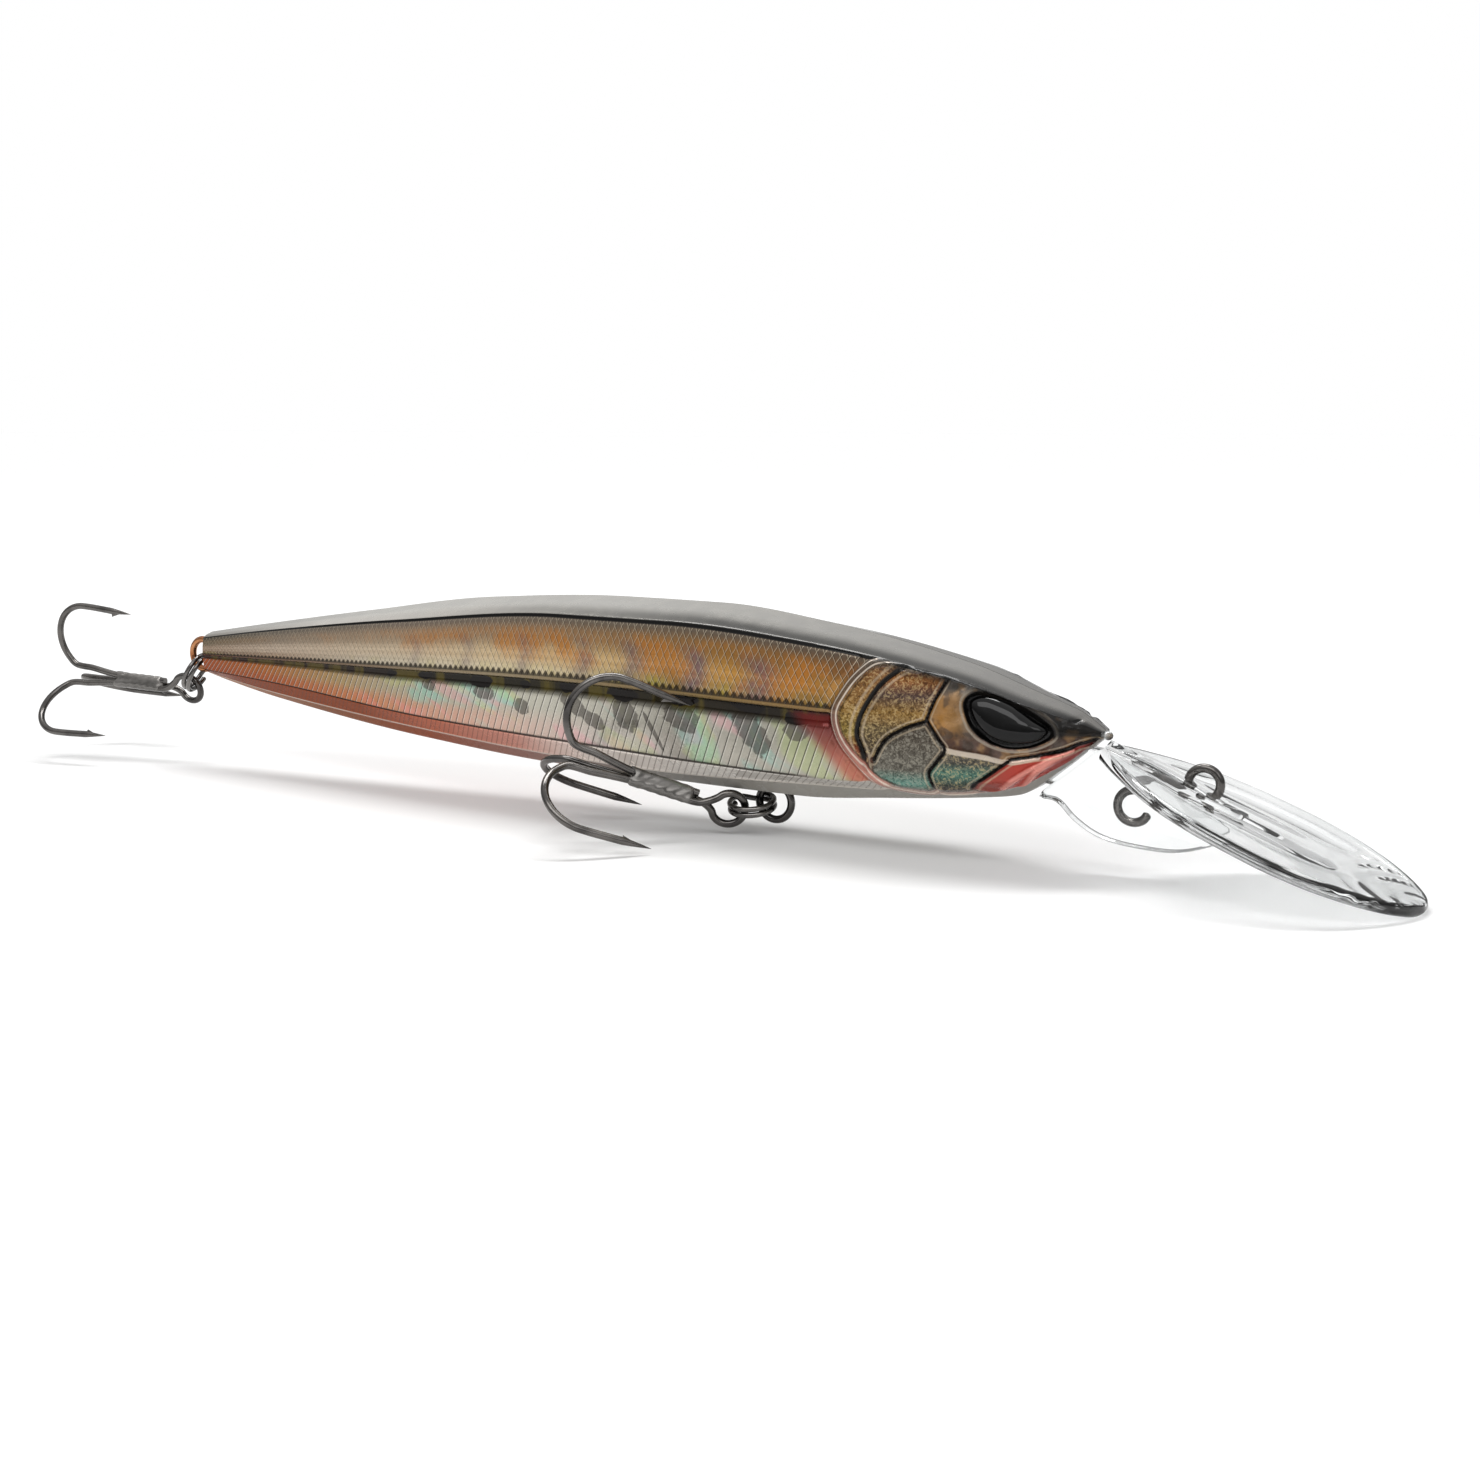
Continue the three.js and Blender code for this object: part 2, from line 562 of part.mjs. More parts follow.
const CAPS = { rear: TUBE.x[0] - CAP_DEPTH, front: TUBE.x[1] + CAP_PLAY };
for (const [end, x] of Object.entries(CAPS)) {
  const cap = rod(TUBE.outer, CAP_DEPTH - CAP_PLAY).translate(x, 0, TUBE.z);
  piece(`weight_tube_cap_${end}`, cap, finish(0xd8d8d4, 0.5, 0));
}

const magnetStart = TUBE.x[1] - MAGNET.length - BALL_PLAY;
const magnet = rod(MAGNET.radius, MAGNET.length).translate(magnetStart, 0, TUBE.z);
piece('holding_magnet', magnet, finish(0x8c8c90, 0.3, 1));

['front', 'middle', 'rear'].forEach((name, i) => {
  const x = magnetStart - 2 * BALL_PLAY - BALL_RADIUS - i * (2 * BALL_RADIUS + BALL_PLAY);
  const ball = new THREE.SphereGeometry(BALL_RADIUS, 14, 8).translate(x, 0, TUBE.z);
  piece(`weight_ball_${name}`, ball, finish(0xa0a09a, 0.3, 1));
});

const slugOutline = [[0, 0], [1, 0], [1, 1], [0, 1]].map(([i, k]) => [BALLAST.x[i], BALLAST.z[k]]);
piece('belly_ballast', plate(slugOutline, 2 * BALLAST.halfWidth, 0.5), finish(0x707276, 0.5, 0.9));

// ---------- hangers, split rings and treble hooks ----------
piece('belly_hook_hanger', tube(bellyHangerPath, HANGER_WIRE, HANGER_STEPS), BLACK_NICKEL);
piece('tail_hook_hanger', tube(tailHangerPath, HANGER_WIRE, HANGER_STEPS), BLACK_NICKEL);

function ringPlace(through, towards, across, crossover) {
  // Ring whose wire passes through a point, with its centre on the given side of it.
  const x = towards.clone().normalize();
  const normal = x.clone().cross(across).normalize();
  const centre = through.clone().addScaledVector(x, RING_RADIUS);
  const start = x.clone().applyAxisAngle(normal, crossover);
  return { centre, x, normal, matrix: basis(centre, start, normal.clone().cross(start), normal) };
}

const degrees = THREE.MathUtils.degToRad;

// Belly: the ring lies tilted with its near edge low, and the treble lies off to the -y side.
const bellyTilt = degrees(12);
const bellySide = new THREE.Vector3(0, -Math.cos(bellyTilt), -Math.sin(bellyTilt));
const fromForward = (angle) => new THREE.Vector3(-Math.cos(angle), 0, 0)
  .addScaledVector(bellySide, Math.sin(angle));
const bellyPin = new THREE.Vector3(83.25, 0, 2.95);
const bellyRing = ringPlace(bellyPin, fromForward(degrees(35)), bellySide, degrees(-80));
splitRing('belly_split_ring', bellyRing.matrix);
const bellyEye = bellyRing.centre.clone().addScaledVector(fromForward(degrees(60)), RING_RADIUS);
const bellyTreble = treblePlace(bellyEye, degrees(38), degrees(20), degrees(-5));
const bellyShank = new THREE.Vector3().setFromMatrixColumn(bellyTreble, 0);
bellyTreble.setPosition(bellyEye.clone().addScaledVector(bellyShank, 0.55));
treble('belly', bellyTreble);

// Tail: the ring hangs down and back from the tail eye, and the treble trails behind it.
const tailPin = new THREE.Vector3(-1.05, 0, 13.3);
const tailRing = ringPlace(tailPin, new THREE.Vector3(-0.5, 0, -0.866), new THREE.Vector3(-0.25, 0.97, 0.144),
  degrees(90));
splitRing('tail_split_ring', tailRing.matrix);
const tailEye = tailRing.centre.clone().addScaledVector(tailRing.x, RING_RADIUS);
const tailTreble = treblePlace(tailEye, degrees(8.5), degrees(3), degrees(-11));
tailTreble.setPosition(tailEye.clone().add(new THREE.Vector3(-0.5, 0, -0.1)));
treble('tail', tailTreble);

// ---------- origin at the centre of the footprint ----------
const bounds = new THREE.Box3().setFromObject(group, true);
const middle = bounds.getCenter(new THREE.Vector3());
group.position.set(-middle.x, -middle.y, -bounds.min.z);
group.updateMatrixWorld(true);

export default group;
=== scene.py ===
"""The looks of the crankbait lure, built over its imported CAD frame.

Sizes here are millimetres in the body's own frame: x runs from the tail face (0) to the nose (120), y = 0 is
the parting plane, and the camera looks at the -y side. rows() turns them into metres in the row frame.
"""

import math

import bpy
import numpy as np
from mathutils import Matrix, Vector


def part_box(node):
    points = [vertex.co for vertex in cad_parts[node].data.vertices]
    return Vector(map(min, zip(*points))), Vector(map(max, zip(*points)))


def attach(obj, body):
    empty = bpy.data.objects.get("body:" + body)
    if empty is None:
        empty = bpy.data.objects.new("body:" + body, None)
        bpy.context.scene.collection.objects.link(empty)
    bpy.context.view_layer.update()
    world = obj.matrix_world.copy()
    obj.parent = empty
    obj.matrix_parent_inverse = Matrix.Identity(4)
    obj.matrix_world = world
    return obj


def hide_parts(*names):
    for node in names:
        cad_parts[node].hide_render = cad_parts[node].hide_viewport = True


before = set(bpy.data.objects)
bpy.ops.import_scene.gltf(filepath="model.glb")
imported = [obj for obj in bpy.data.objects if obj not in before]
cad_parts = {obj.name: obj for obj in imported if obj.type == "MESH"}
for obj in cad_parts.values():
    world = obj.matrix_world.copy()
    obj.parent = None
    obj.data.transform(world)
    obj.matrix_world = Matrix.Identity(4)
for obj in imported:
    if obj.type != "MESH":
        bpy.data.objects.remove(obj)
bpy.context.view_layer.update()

# ---------- where the body frame lies in the row frame ----------
MM = 0.001
RIDGE_TOP = 24.2
left_low, left_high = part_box("body_shell_left")
right_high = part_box("body_shell_right")[1]
ORIGIN = np.array([left_low.x, (left_low.y + right_high.y) / 2, left_high.z - RIDGE_TOP * MM])

# ---------- driving dimensions of the body ----------
HALF_WIDTH = [(0, 1.8), (20, 3.4), (40, 5.0), (60, 6.3), (80, 7.0), (95, 7.2), (105, 6.6), (112, 5.2),
              (117, 3.4), (120, 1.2)]
RIDGE = [(0, 16.6), (8, 17.9), (28, 20.9), (46, 23.3), (64, 24.2), (77, 24.1), (91, 22.5), (106, 19.4),
         (113, 17.0), (118, 15.2), (120, 13.8)]
ROOF_EDGE = [(0, 16.0), (12, 17.7), (35, 20.4), (59, 22.4), (73, 22.4), (91, 21.1), (106, 18.6),
             (113, 16.3), (118, 14.6), (120, 13.6)]
WAIST = [(0, 13.9), (27, 14.6), (60, 15.3), (83, 14.8), (105, 14.2), (117, 13.7), (120, 13.3)]
LOWER_EDGE = [(0, 12.0), (14, 11.2), (38, 9.1), (59, 8.2), (91, 7.2), (107, 8.0), (112, 8.8), (116, 10.8),
              (120, 13.1)]
STRIP_EDGE = [(0, 11.8), (12, 10.0), (38, 7.5), (58, 6.2), (72, 5.8), (91, 6.3), (104, 6.7), (111, 7.7),
              (116, 10.1), (120, 13.0)]
BELLY = [(0, 11.6), (4, 10.7), (13, 9.1), (36, 6.3), (57, 4.9), (88, 4.4), (98, 5.2), (108, 6.2),
         (112, 6.8), (116, 9.5), (120, 12.9)]
BODY_LENGTH = 120.0
TAIL_FACE = 0.75
SEAM = 0.1
SHARP_ANGLE = 42
INNER_WALL = 1.0
# Length of one scale in mm, by place along the body.
SCALE_PITCH = [(0, 0.60), (25, 0.71), (60, 0.87), (95, 0.90)]
# Scale rows climbed between the roof edge and the waist.
RISE = 4.2
# Ribs of the lower flank for each scale.
RIB_SHARE = 0.85
CAVITY = (9.0, 104.0)
# Section parameter v: 0 ridge, 1 roof edge, 2 waist, 3 lower edge, 4 strip edge, 5 belly edge, 6 middle.
SECTION_KNOTS = [0, 0.5, 1, 1.5, 2, 2.5, 3, 4, 5, 6]
SECTION_COUNTS = [(0, 1, 24), (1, 2, 40), (2, 3, 44), (3, 4, 18), (4, 5, 12), (5, 6, 10)]

# ---------- features of the head on the (x, z) plane ----------
GILL_RIM = [(102.5, 19.6), (100.2, 20.1), (98.2, 19.9), (96.7, 18.8), (95.1, 16.8), (94.0, 14.5),
            (94.4, 12.1), (96.1, 9.7), (98.2, 7.7), (100.4, 6.8), (104.1, 6.4), (108.0, 6.7)]
WIDE_GROOVE = [(101.8, 19.7), (100.3, 18.8), (98.8, 17.4), (97.0, 14.4), (96.5, 12.3), (97.1, 10.5),
               (97.3, 8.3)]
SECOND_FRONT = [(105.6, 18.3), (104.5, 15.9), (103.9, 14.2)]
SECOND_UNDER = [(103.9, 14.2), (101.8, 13.4), (99.6, 12.0), (98.2, 9.8)]
MIDDLE_FRONT = [(104.1, 14.2), (105.2, 12.4), (105.8, 11.5), (104.7, 9.9), (104.0, 8.9), (104.2, 7.7),
                (104.3, 6.8)]
JAW_REAR = [(111.9, 10.6), (110.1, 9.2), (108.1, 7.7)]
MOUTH = [(119.6, 12.9), (118.3, 12.5), (116.6, 11.8), (112.1, 10.8)]
GROOVES = [SECOND_FRONT, SECOND_UNDER, MIDDLE_FRONT, JAW_REAR, MOUTH]
JAW_FRONT = [(119.8, 12.6), (117.0, 10.3), (114.5, 8.3), (113.6, 7.7)]
CHEEK_LINE = [(105.8, 11.5), (107.3, 11.3), (109.8, 11.0), (111.9, 10.6), (114.6, 11.2)]
JAW_RIDGES = [
    [(117.6, 12.0), (114.8, 10.2), (112.6, 8.0)],
    [(116.6, 11.5), (113.6, 9.8), (110.9, 7.9)],
]
SOCKET = [(107.6, 16.6), (108.6, 17.4), (110.4, 17.3), (113.2, 16.1), (115.9, 14.3), (116.2, 13.4),
          (114.3, 12.2), (111.6, 12.0), (109.1, 13.1), (107.8, 15.0)]
EYE_OUTLINE = [(108.0, 16.4), (109.1, 17.0), (111.6, 16.4), (114.2, 14.9), (115.7, 13.8), (115.0, 12.9),
               (112.6, 12.5), (110.1, 13.2), (108.5, 14.8)]
NOSTRIL = (117.8, 14.75, 0.4)
# Dark patches in the band and grey stains under it, as (x, v, half size in x, half size in v, lean).
PATCHES = [(34.0, 2.14, 0.9, 0.07, 0), (39.5, 2.12, 1.3, 0.08, 0), (48.0, 2.15, 1.9, 0.12, 0),
           (54.5, 2.14, 0.9, 0.07, 0), (60.6, 2.12, 1.5, 0.09, 0), (68.0, 2.12, 2.1, 0.12, 0),
           (75.6, 2.08, 2.3, 0.12, 0), (83.9, 2.07, 2.2, 0.12, 0), (89.6, 2.17, 1.7, 0.09, 0)]
STAINS = [(40.0, 2.3, 1.1, 0.12, 2), (48.4, 2.34, 1.7, 0.14, 2), (54.0, 2.5, 1.2, 0.14, 0),
          (61.3, 2.36, 1.6, 0.2, 6), (64.0, 2.58, 1.5, 0.14, 3), (68.4, 2.42, 1.7, 0.26, 1),
          (75.6, 2.36, 2.3, 0.2, 2), (84.2, 2.42, 1.9, 0.36, 4), (89.6, 2.35, 1.6, 0.13, 0),
          (71.8, 2.6, 0.35, 0.32, 4)]
# Soft upright bars on the upper flank, as (x, half width, strength).
BARS = [(38.0, 0.9, 0.4), (46.0, 0.9, 0.5), (54.5, 1.0, 0.6), (62.8, 1.1, 0.7), (69.2, 1.4, 0.8),
        (77.3, 1.5, 1.0), (84.9, 2.0, 0.9)]
# Plates between the grooves, as closed outlines.
PLATES = {
    "rear": [(102.3, 19.7), *WIDE_GROOVE[1:], *GILL_RIM[8:0:-1]],
    "second": [(102.0, 19.8), (105.6, 18.6), *SECOND_FRONT[1:], *SECOND_UNDER[1:], (97.3, 8.6),
               *WIDE_GROOVE[5:0:-1]],
    "middle": [(103.9, 14.2), *MIDDLE_FRONT[1:6], (104.3, 6.2), (100.4, 6.2), (98.2, 7.6),
               *SECOND_UNDER[3:0:-1]],
    "lower": [*CHEEK_LINE[:4], *JAW_REAR[1:], (107.0, 6.2), (104.3, 6.2), *MIDDLE_FRONT[5:2:-1]],
    "jaw": [(111.9, 10.6), *MOUTH[3:0:-1], (119.9, 12.9), (120.4, 12.4), (117.2, 9.9), (113.8, 7.0),
            (112.5, 5.8), (107.0, 5.8), *JAW_REAR[2:0:-1]],
}

# ---------- wires, hooks, lip ----------
HOOK_WIRE = 0.42
RING_WIRE = 0.3
RING_RADIUS = 2.4
HANGER_WIRE = 0.43
TIE_WIRE = 0.45
TREBLE = {"start": 3.6, "junction": 11.5, "reach": 19.8, "gap": 9.75, "eye": 1.82, "spread": 0.57}
POINT_LENGTH = 2.3
POINT_TAPER = 3.1
DOUBLE_SAMPLES = 420
SINGLE_SAMPLES = 220
BRAZE_START, BRAZE_END = 3.9, 11.2
LIP_ROOT = np.array([119.9, 0.0, 12.5])
LIP_PITCH = math.radians(21.4)
LIP_THICK = 1.3
LIP_END = 33.2
KEEL_THICK = 2.2
TONGUE_THICK = 2.0
EDGE_ROUND = 0.35
LIP_OUTLINE = [(0.6, 2.0), (1, 2.4), (3, 4.4), (7, 7.6), (11, 9.5), (15, 10.3), (19, 10.5), (23, 9.9),
               (27, 8.2), (30, 5.9), (32, 3.4), (33, 1.3), (33.2, 0.7)]
KEEL = [(113.7, 6.7), (115.4, 6.3), (117.3, 4.6), (119.8, 3.2), (124, 2.5), (128.6, 2.7), (133.6, 5.2),
        (133, 7.0), (120.5, 12.1), (117.6, 10.2)]
TONGUE = [(106.5, 9.2), (113.5, 8.2), (119, 7.5), (121.5, 11.2), (117.4, 12.1), (106.5, 12.4)]

# ---------- camera and floor ----------
CAMERA_PLACE = (178.7, -172.7, 43.35)
CAMERA_TURN = 30.0
CAMERA_DIP = 9.7
CAMERA_LENS = 45.4
FLOOR_REACH = 6.0

# ---------- light ----------
# Room as the camera sees it, and as it lights the lure.
ROOM_WHITE = 1.0
ROOM_SOFT = 0.42
# Room seen in reflections, at the horizon and overhead.
ROOM_LOW = 0.32
ROOM_HIGH = 1.1


# ---------- small helpers ----------
def rows(points):
    """Points of the body frame, in mm, as metres of the row frame."""
    return ORIGIN + np.asarray(points, float) * MM


def curve_of(points):
    """Monotone cubic through (x, value) points."""
    xs, ys = np.array(points, float).T
    step = np.diff(xs)
    slope = np.diff(ys) / step
    tangent = np.zeros(len(xs))
    tangent[0], tangent[-1] = slope[0], slope[-1]
    for i in range(1, len(xs) - 1):
        if slope[i - 1] * slope[i] > 0:
            tangent[i] = 2 * slope[i - 1] * slope[i] / (slope[i - 1] + slope[i])

    def value(x):
        x = np.clip(np.asarray(x, float), xs[0], xs[-1])
        i = np.clip(np.searchsorted(xs, x, side="right") - 1, 0, len(xs) - 2)
        t = (x - xs[i]) / step[i]
        a = 2 * t**3 - 3 * t**2 + 1
        b = t**3 - 2 * t**2 + t
        c = 3 * t**2 - 2 * t**3
        d = t**3 - t**2
        return a * ys[i] + b * step[i] * tangent[i] + c * ys[i + 1] + d * step[i] * tangent[i + 1]

    return value


def spline(points, count, closed=False):
    """Centripetal Catmull-Rom curve through points, sampled at count places of equal spacing."""
    p = np.asarray(points, float)
    p = np.vstack([p[-1], p, p[0], p[1]] if closed else [2 * p[0] - p[1], p, 2 * p[-1] - p[-2]])
    pyramid = (((0, 1), (1, 2), (2, 3)), ((0, 2), (1, 3)), ((1, 2),))
    fine = []
    for k in range(len(p) - 3):
        level = list(p[k:k + 4])
        gaps = [max(np.linalg.norm(b - a), 1e-6) ** 0.5 for a, b in zip(level[:-1], level[1:])]
        knots = np.concatenate([[0.0], np.cumsum(gaps)])
        t = np.linspace(knots[1], knots[2], 17)[:-1, None]
        for spans in pyramid:
            level = [((knots[b] - t) * level[i] + (t - knots[a]) * level[i + 1]) / (knots[b] - knots[a])
                     for i, (a, b) in enumerate(spans)]
        fine.append(level[0])
    fine = np.vstack([*fine, p[-2][None]])
    run = np.concatenate([[0], np.cumsum(np.linalg.norm(np.diff(fine, axis=0), axis=1))])
    want = np.linspace(0, run[-1], count + 1)[:-1] if closed else np.linspace(0, run[-1], count)
    return np.stack([np.interp(want, run, fine[:, i]) for i in range(fine.shape[1])], axis=1)


def ease(low, high, x):
    """0 below low, 1 above high, with a smooth step between."""
    t = np.clip((np.asarray(x, float) - low) / (high - low), 0, 1)
    return t * t * (3 - 2 * t)


def bump(distance, width):
    """1 where the distance is 0, falling off over the width."""
    return np.exp(-((distance / width) ** 2))


def piece_distance(x, z, start, end):
    """Distance in mm from each (x, z) to one straight piece of a line."""
    dx, dz = end - start
    t = np.clip(((x - start[0]) * dx + (z - start[1]) * dz) / (dx * dx + dz * dz + 1e-12), 0, 1)
    return np.hypot(x - start[0] - t * dx, z - start[1] - t * dz)


def line_distance(x, z, points):
    """Distance in mm from each (x, z) to a smoothed open line."""
    line = spline(points, max(16, 10 * len(points)))
    best = np.full(x.shape, np.inf)
    for start, end in zip(line[:-1], line[1:]):
        best = np.minimum(best, piece_distance(x, z, start, end))
    return best


def outline_distance(x, z, points, smoothed=True):
    """Signed distance in mm to a closed outline, positive inside."""
    line = spline(points, 12 * len(points), closed=True) if smoothed else np.array(points, float)
    best = np.full(x.shape, np.inf)
    inside = np.zeros(x.shape, bool)
    for start, end in zip(line, np.roll(line, -1, axis=0)):
        best = np.minimum(best, piece_distance(x, z, start, end))
        dx, dz = end - start
        crosses = (start[1] > z) != (end[1] > z)
        inside ^= crosses & (x < start[0] + (z - start[1]) * dx / (dz if abs(dz) > 1e-9 else 1e-9))
    return np.where(inside, best, -best)


def facing_out(points, faces):
    """The same faces, turned round where the closed shape they make is inside out."""
    p = np.asarray(points, float) - np.mean(points, axis=0)
    fans = np.array([(face[0], face[i], face[i + 1]) for face in faces for i in range(1, len(face) - 1)])
    volume = np.einsum("ij,ij->", p[fans[:, 0]], np.cross(p[fans[:, 1]], p[fans[:, 2]]))
    return faces if volume > 0 else [tuple(reversed(face)) for face in faces]


def skin(rings):
    """Closed shape over rings of equally many points, with a flat face at either end."""
    count = len(rings[0])
    last = (len(rings) - 1) * count
    faces = [(r + i, r + (i + 1) % count, r + count + (i + 1) % count, r + count + i)
             for r in range(0, last, count) for i in range(count)]
    return np.vstack(rings), [*faces, tuple(reversed(range(count))), tuple(range(last, last + count))]


def together(*parts):
    """Several closed shapes as one list of points and faces."""
    points, faces, start = [], [], 0
    for part_points, part_faces in parts:
        points.append(np.asarray(part_points, float))
        faces += [tuple(i + start for i in face) for face in facing_out(part_points, part_faces)]
        start += len(part_points)
    return np.vstack(points), faces


def linked(name, data):
    """New object in the scene."""
    obj = bpy.data.objects.new(name, data)
    bpy.context.scene.collection.objects.link(obj)
    return obj


def build(name, points, faces, body, material, node, slot, attributes=None):
    """Mesh object from points in body-frame mm. It rides on a CAD body and takes the place of a CAD node."""
    mesh = bpy.data.meshes.new(name)
    mesh.from_pydata(rows(points).tolist(), [], facing_out(points, faces))
    for key, values in (attributes or {}).items():
        layer = mesh.attributes.new(key, "FLOAT", "POINT")
        layer.data.foreach_set("value", np.asarray(values, np.float32).ravel())
    mesh.polygons.foreach_set("use_smooth", [True] * len(mesh.polygons))
    mesh.update()
    mesh.set_sharp_from_angle(angle=math.radians(SHARP_ANGLE))
    obj = linked(name, mesh)
    obj.data.materials.append(material)
    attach(obj, body)
    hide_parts(node)
    return obj


# ---------- node helpers ----------
class Field:
    """One value of a node tree, for use in sums and products."""

    def __init__(self, nodes, socket):
        self.nodes = nodes
        self.socket = socket

    def __add__(self, other):
        return self.nodes.math("ADD", self, other)

    def __sub__(self, other):
        return self.nodes.math("SUBTRACT", self, other)

    def __mul__(self, other):
        return self.nodes.math("MULTIPLY", self, other)

    def __truediv__(self, other):
        return self.nodes.math("DIVIDE", self, other)


class Nodes:
    """Short forms for building a node tree."""

    def __init__(self, tree):
        self.tree = tree

    def put(self, socket, value):
        """Link a field to a socket, or set the socket to a number, a colour triple or '#rrggbb'."""
        if isinstance(value, Field):
            self.tree.links.new(value.socket, socket)
        elif isinstance(value, str):
            socket.default_value = (*paint(value), 1)
        elif isinstance(value, tuple) and socket.type == "RGBA":
            socket.default_value = (*value, 1)
        else:
            socket.default_value = value

    def add(self, kind, values, output=0, **settings):
        """One output of a new node, whose sockets take the values by their number or name."""
        node = self.tree.nodes.new(f"ShaderNode{kind}")
        for key, setting in settings.items():
            setattr(node, key, setting)
        for key, value in values.items() if isinstance(values, dict) else enumerate(values):
            self.put(node.inputs[key], value)
        return Field(self, node.outputs[output])

    def attribute(self, name):
        return self.add("Attribute", (), "Fac", attribute_name=name)

    def position(self):
        return self.add("TexCoord", (), "Object")

    def math(self, operation, *values):
        return self.add("Math", values, operation=operation)

    def smooth(self, value, low, high, out_low=0.0, out_high=1.0):
        return self.add("MapRange", (value, low, high, out_low, out_high), interpolation_type="SMOOTHSTEP")

    def between(self, value, a, b, c, d):
        """1 from b to c, easing out to 0 at a and at d."""
        return self.smooth(value, a, b) * self.smooth(value, d, c)

    def near(self, value, place, far, close, most=1.0):
        """The given most where value is within close of a place, easing out to 0 at far from it."""
        return self.smooth(self.math("ABSOLUTE", value - place), far, close, 0.0, most)

    def mix(self, factor, a, b, blend="MIX"):
        return self.add("Mix", {0: factor, 6: a, 7: b}, 2, data_type="RGBA", blend_type=blend,
                        clamp_factor=True)

    def ramp(self, value, stops):
        """Colour ramp with (place, '#rrggbb') stops."""
        node = self.tree.nodes.new("ShaderNodeValToRGB")
        elements = node.color_ramp.elements
        while len(elements) < len(stops):
            elements.new(1.0)
        for element, (place, colour) in zip(elements, stops):
            element.position = place
            element.color = (*paint(colour), 1)
        self.put(node.inputs[0], value)
        return Field(self, node.outputs[0])

    def along(self, x, stops):
        """Colour along the body, with stops in mm from the tail."""
        return self.ramp(x / BODY_LENGTH, [(place / BODY_LENGTH, colour) for place, colour in stops])

    def vector(self, x, y, z=0.0):
        return self.add("CombineXYZ", (x, y, z))

    def noise(self, vector, scale, detail=2.0, roughness=0.5, distortion=0.0, output="Fac"):
        return self.add("TexNoise", {"Vector": vector, "Scale": scale, "Detail": detail,
                                     "Roughness": roughness, "Distortion": distortion}, output)

    def stripes(self, value, width, soft):
        """1 on thin lines where value is a whole number, with the given share of the pitch as their width."""
        off = self.math("ABSOLUTE", self.math("FRACT", value) - 0.5)
        return self.smooth(off, 0.5 - width - soft, 0.5 - width)


class Look(Nodes):
    """One material, made of a principled shader and the nodes that feed it."""

    def __init__(self, name):
        self.material = bpy.data.materials.new(name)
        self.material.use_nodes = True
        super().__init__(self.material.node_tree)
        self.tree.nodes.clear()
        self.shader = self.tree.nodes.new("ShaderNodeBsdfPrincipled")
        out = self.tree.nodes.new("ShaderNodeOutputMaterial")
        self.tree.links.new(self.shader.outputs[0], out.inputs["Surface"])

    def set(self, **values):
        for key, value in values.items():
            self.put(self.shader.inputs[key.replace("_", " ")], value)

    def relief(self, height, strength, distance):
        self.set(Normal=self.add("Bump", {"Height": height, "Strength": strength, "Distance": distance}))


def paint(colour):
    """Linear colour from '#rrggbb'."""
    parts = [int(colour[i:i + 2], 16) / 255 for i in (1, 3, 5)]
    return tuple(c / 12.92 if c <= 0.04045 else ((c + 0.055) / 1.055) ** 2.4 for c in parts)


# ---------- body halves ----------
def section_points(x, v):
    """y (outwards) and z of the section at stations x, one row per station."""
    width = curve_of(HALF_WIDTH)(x)
    ridge, roof, waist = (curve_of(t)(x) for t in (RIDGE, ROOF_EDGE, WAIST))
    lower, strip, belly = (curve_of(t)(x) for t in (LOWER_EDGE, STRIP_EDGE, BELLY))
    shares = [0, 0.5, 0.85, 0.96, 1, 0.955, 0.85, 0.6, 0.38, 0]
    heights = [ridge, ridge + 0.42 * (roof - ridge), roof, (roof + waist) / 2, waist, (waist + lower) / 2,
               lower, strip, belly, belly]
    y = np.stack([np.interp(v, SECTION_KNOTS, [s * w for s in shares]) for w in width])
    z = np.stack([np.interp(v, SECTION_KNOTS, [h[i] for h in heights]) for i in range(len(x))])
    return y, z


STATIONS = np.concatenate([np.arange(TAIL_FACE, 92, 0.25), np.arange(92, BODY_LENGTH, 0.15), [BODY_LENGTH]])
SAMPLES = np.concatenate([*[np.linspace(a, b, n, endpoint=False) for a, b, n in SECTION_COUNTS], [6.0]])


def scale_run(x):
    """Runs up by one for each scale along the body; scales are smaller at the tail."""
    fine = np.linspace(0, BODY_LENGTH, 600)
    pitch = np.interp(fine, *np.transpose(SCALE_PITCH))
    run = np.concatenate([[0], np.cumsum((fine[1] - fine[0]) / pitch[1:])])
    return np.interp(x, fine, run)


def head_fields(x, z):
    """Distances in mm from the head's features, which shape it and colour it."""
    rim = [*spline(GILL_RIM, 60), (124, 5.0), (124, 21.0), (106, 21.0)]
    fields = {"rim": outline_distance(x, z, rim, smoothed=False)}
    wide = 0.62 * line_distance(x, z, WIDE_GROOVE)
    narrow = np.minimum.reduce([line_distance(x, z, g) for g in GROOVES])
    fields["groove"] = np.minimum(wide, narrow)
    fields["front"] = line_distance(x, z, JAW_FRONT)
    fields["cheek_line"] = line_distance(x, z, CHEEK_LINE)
    fields["jaw_ridge"] = np.minimum.reduce([line_distance(x, z, g) for g in JAW_RIDGES])
    fields["socket"] = outline_distance(x, z, SOCKET)
    fields["nostril"] = np.hypot(x - NOSTRIL[0], (z - NOSTRIL[1]) * 1.5)
    for name, outline in PLATES.items():
        fields[name] = outline_distance(x, z, outline, smoothed=False)
    return {key: np.clip(value, -6, 6) for key, value in fields.items()}


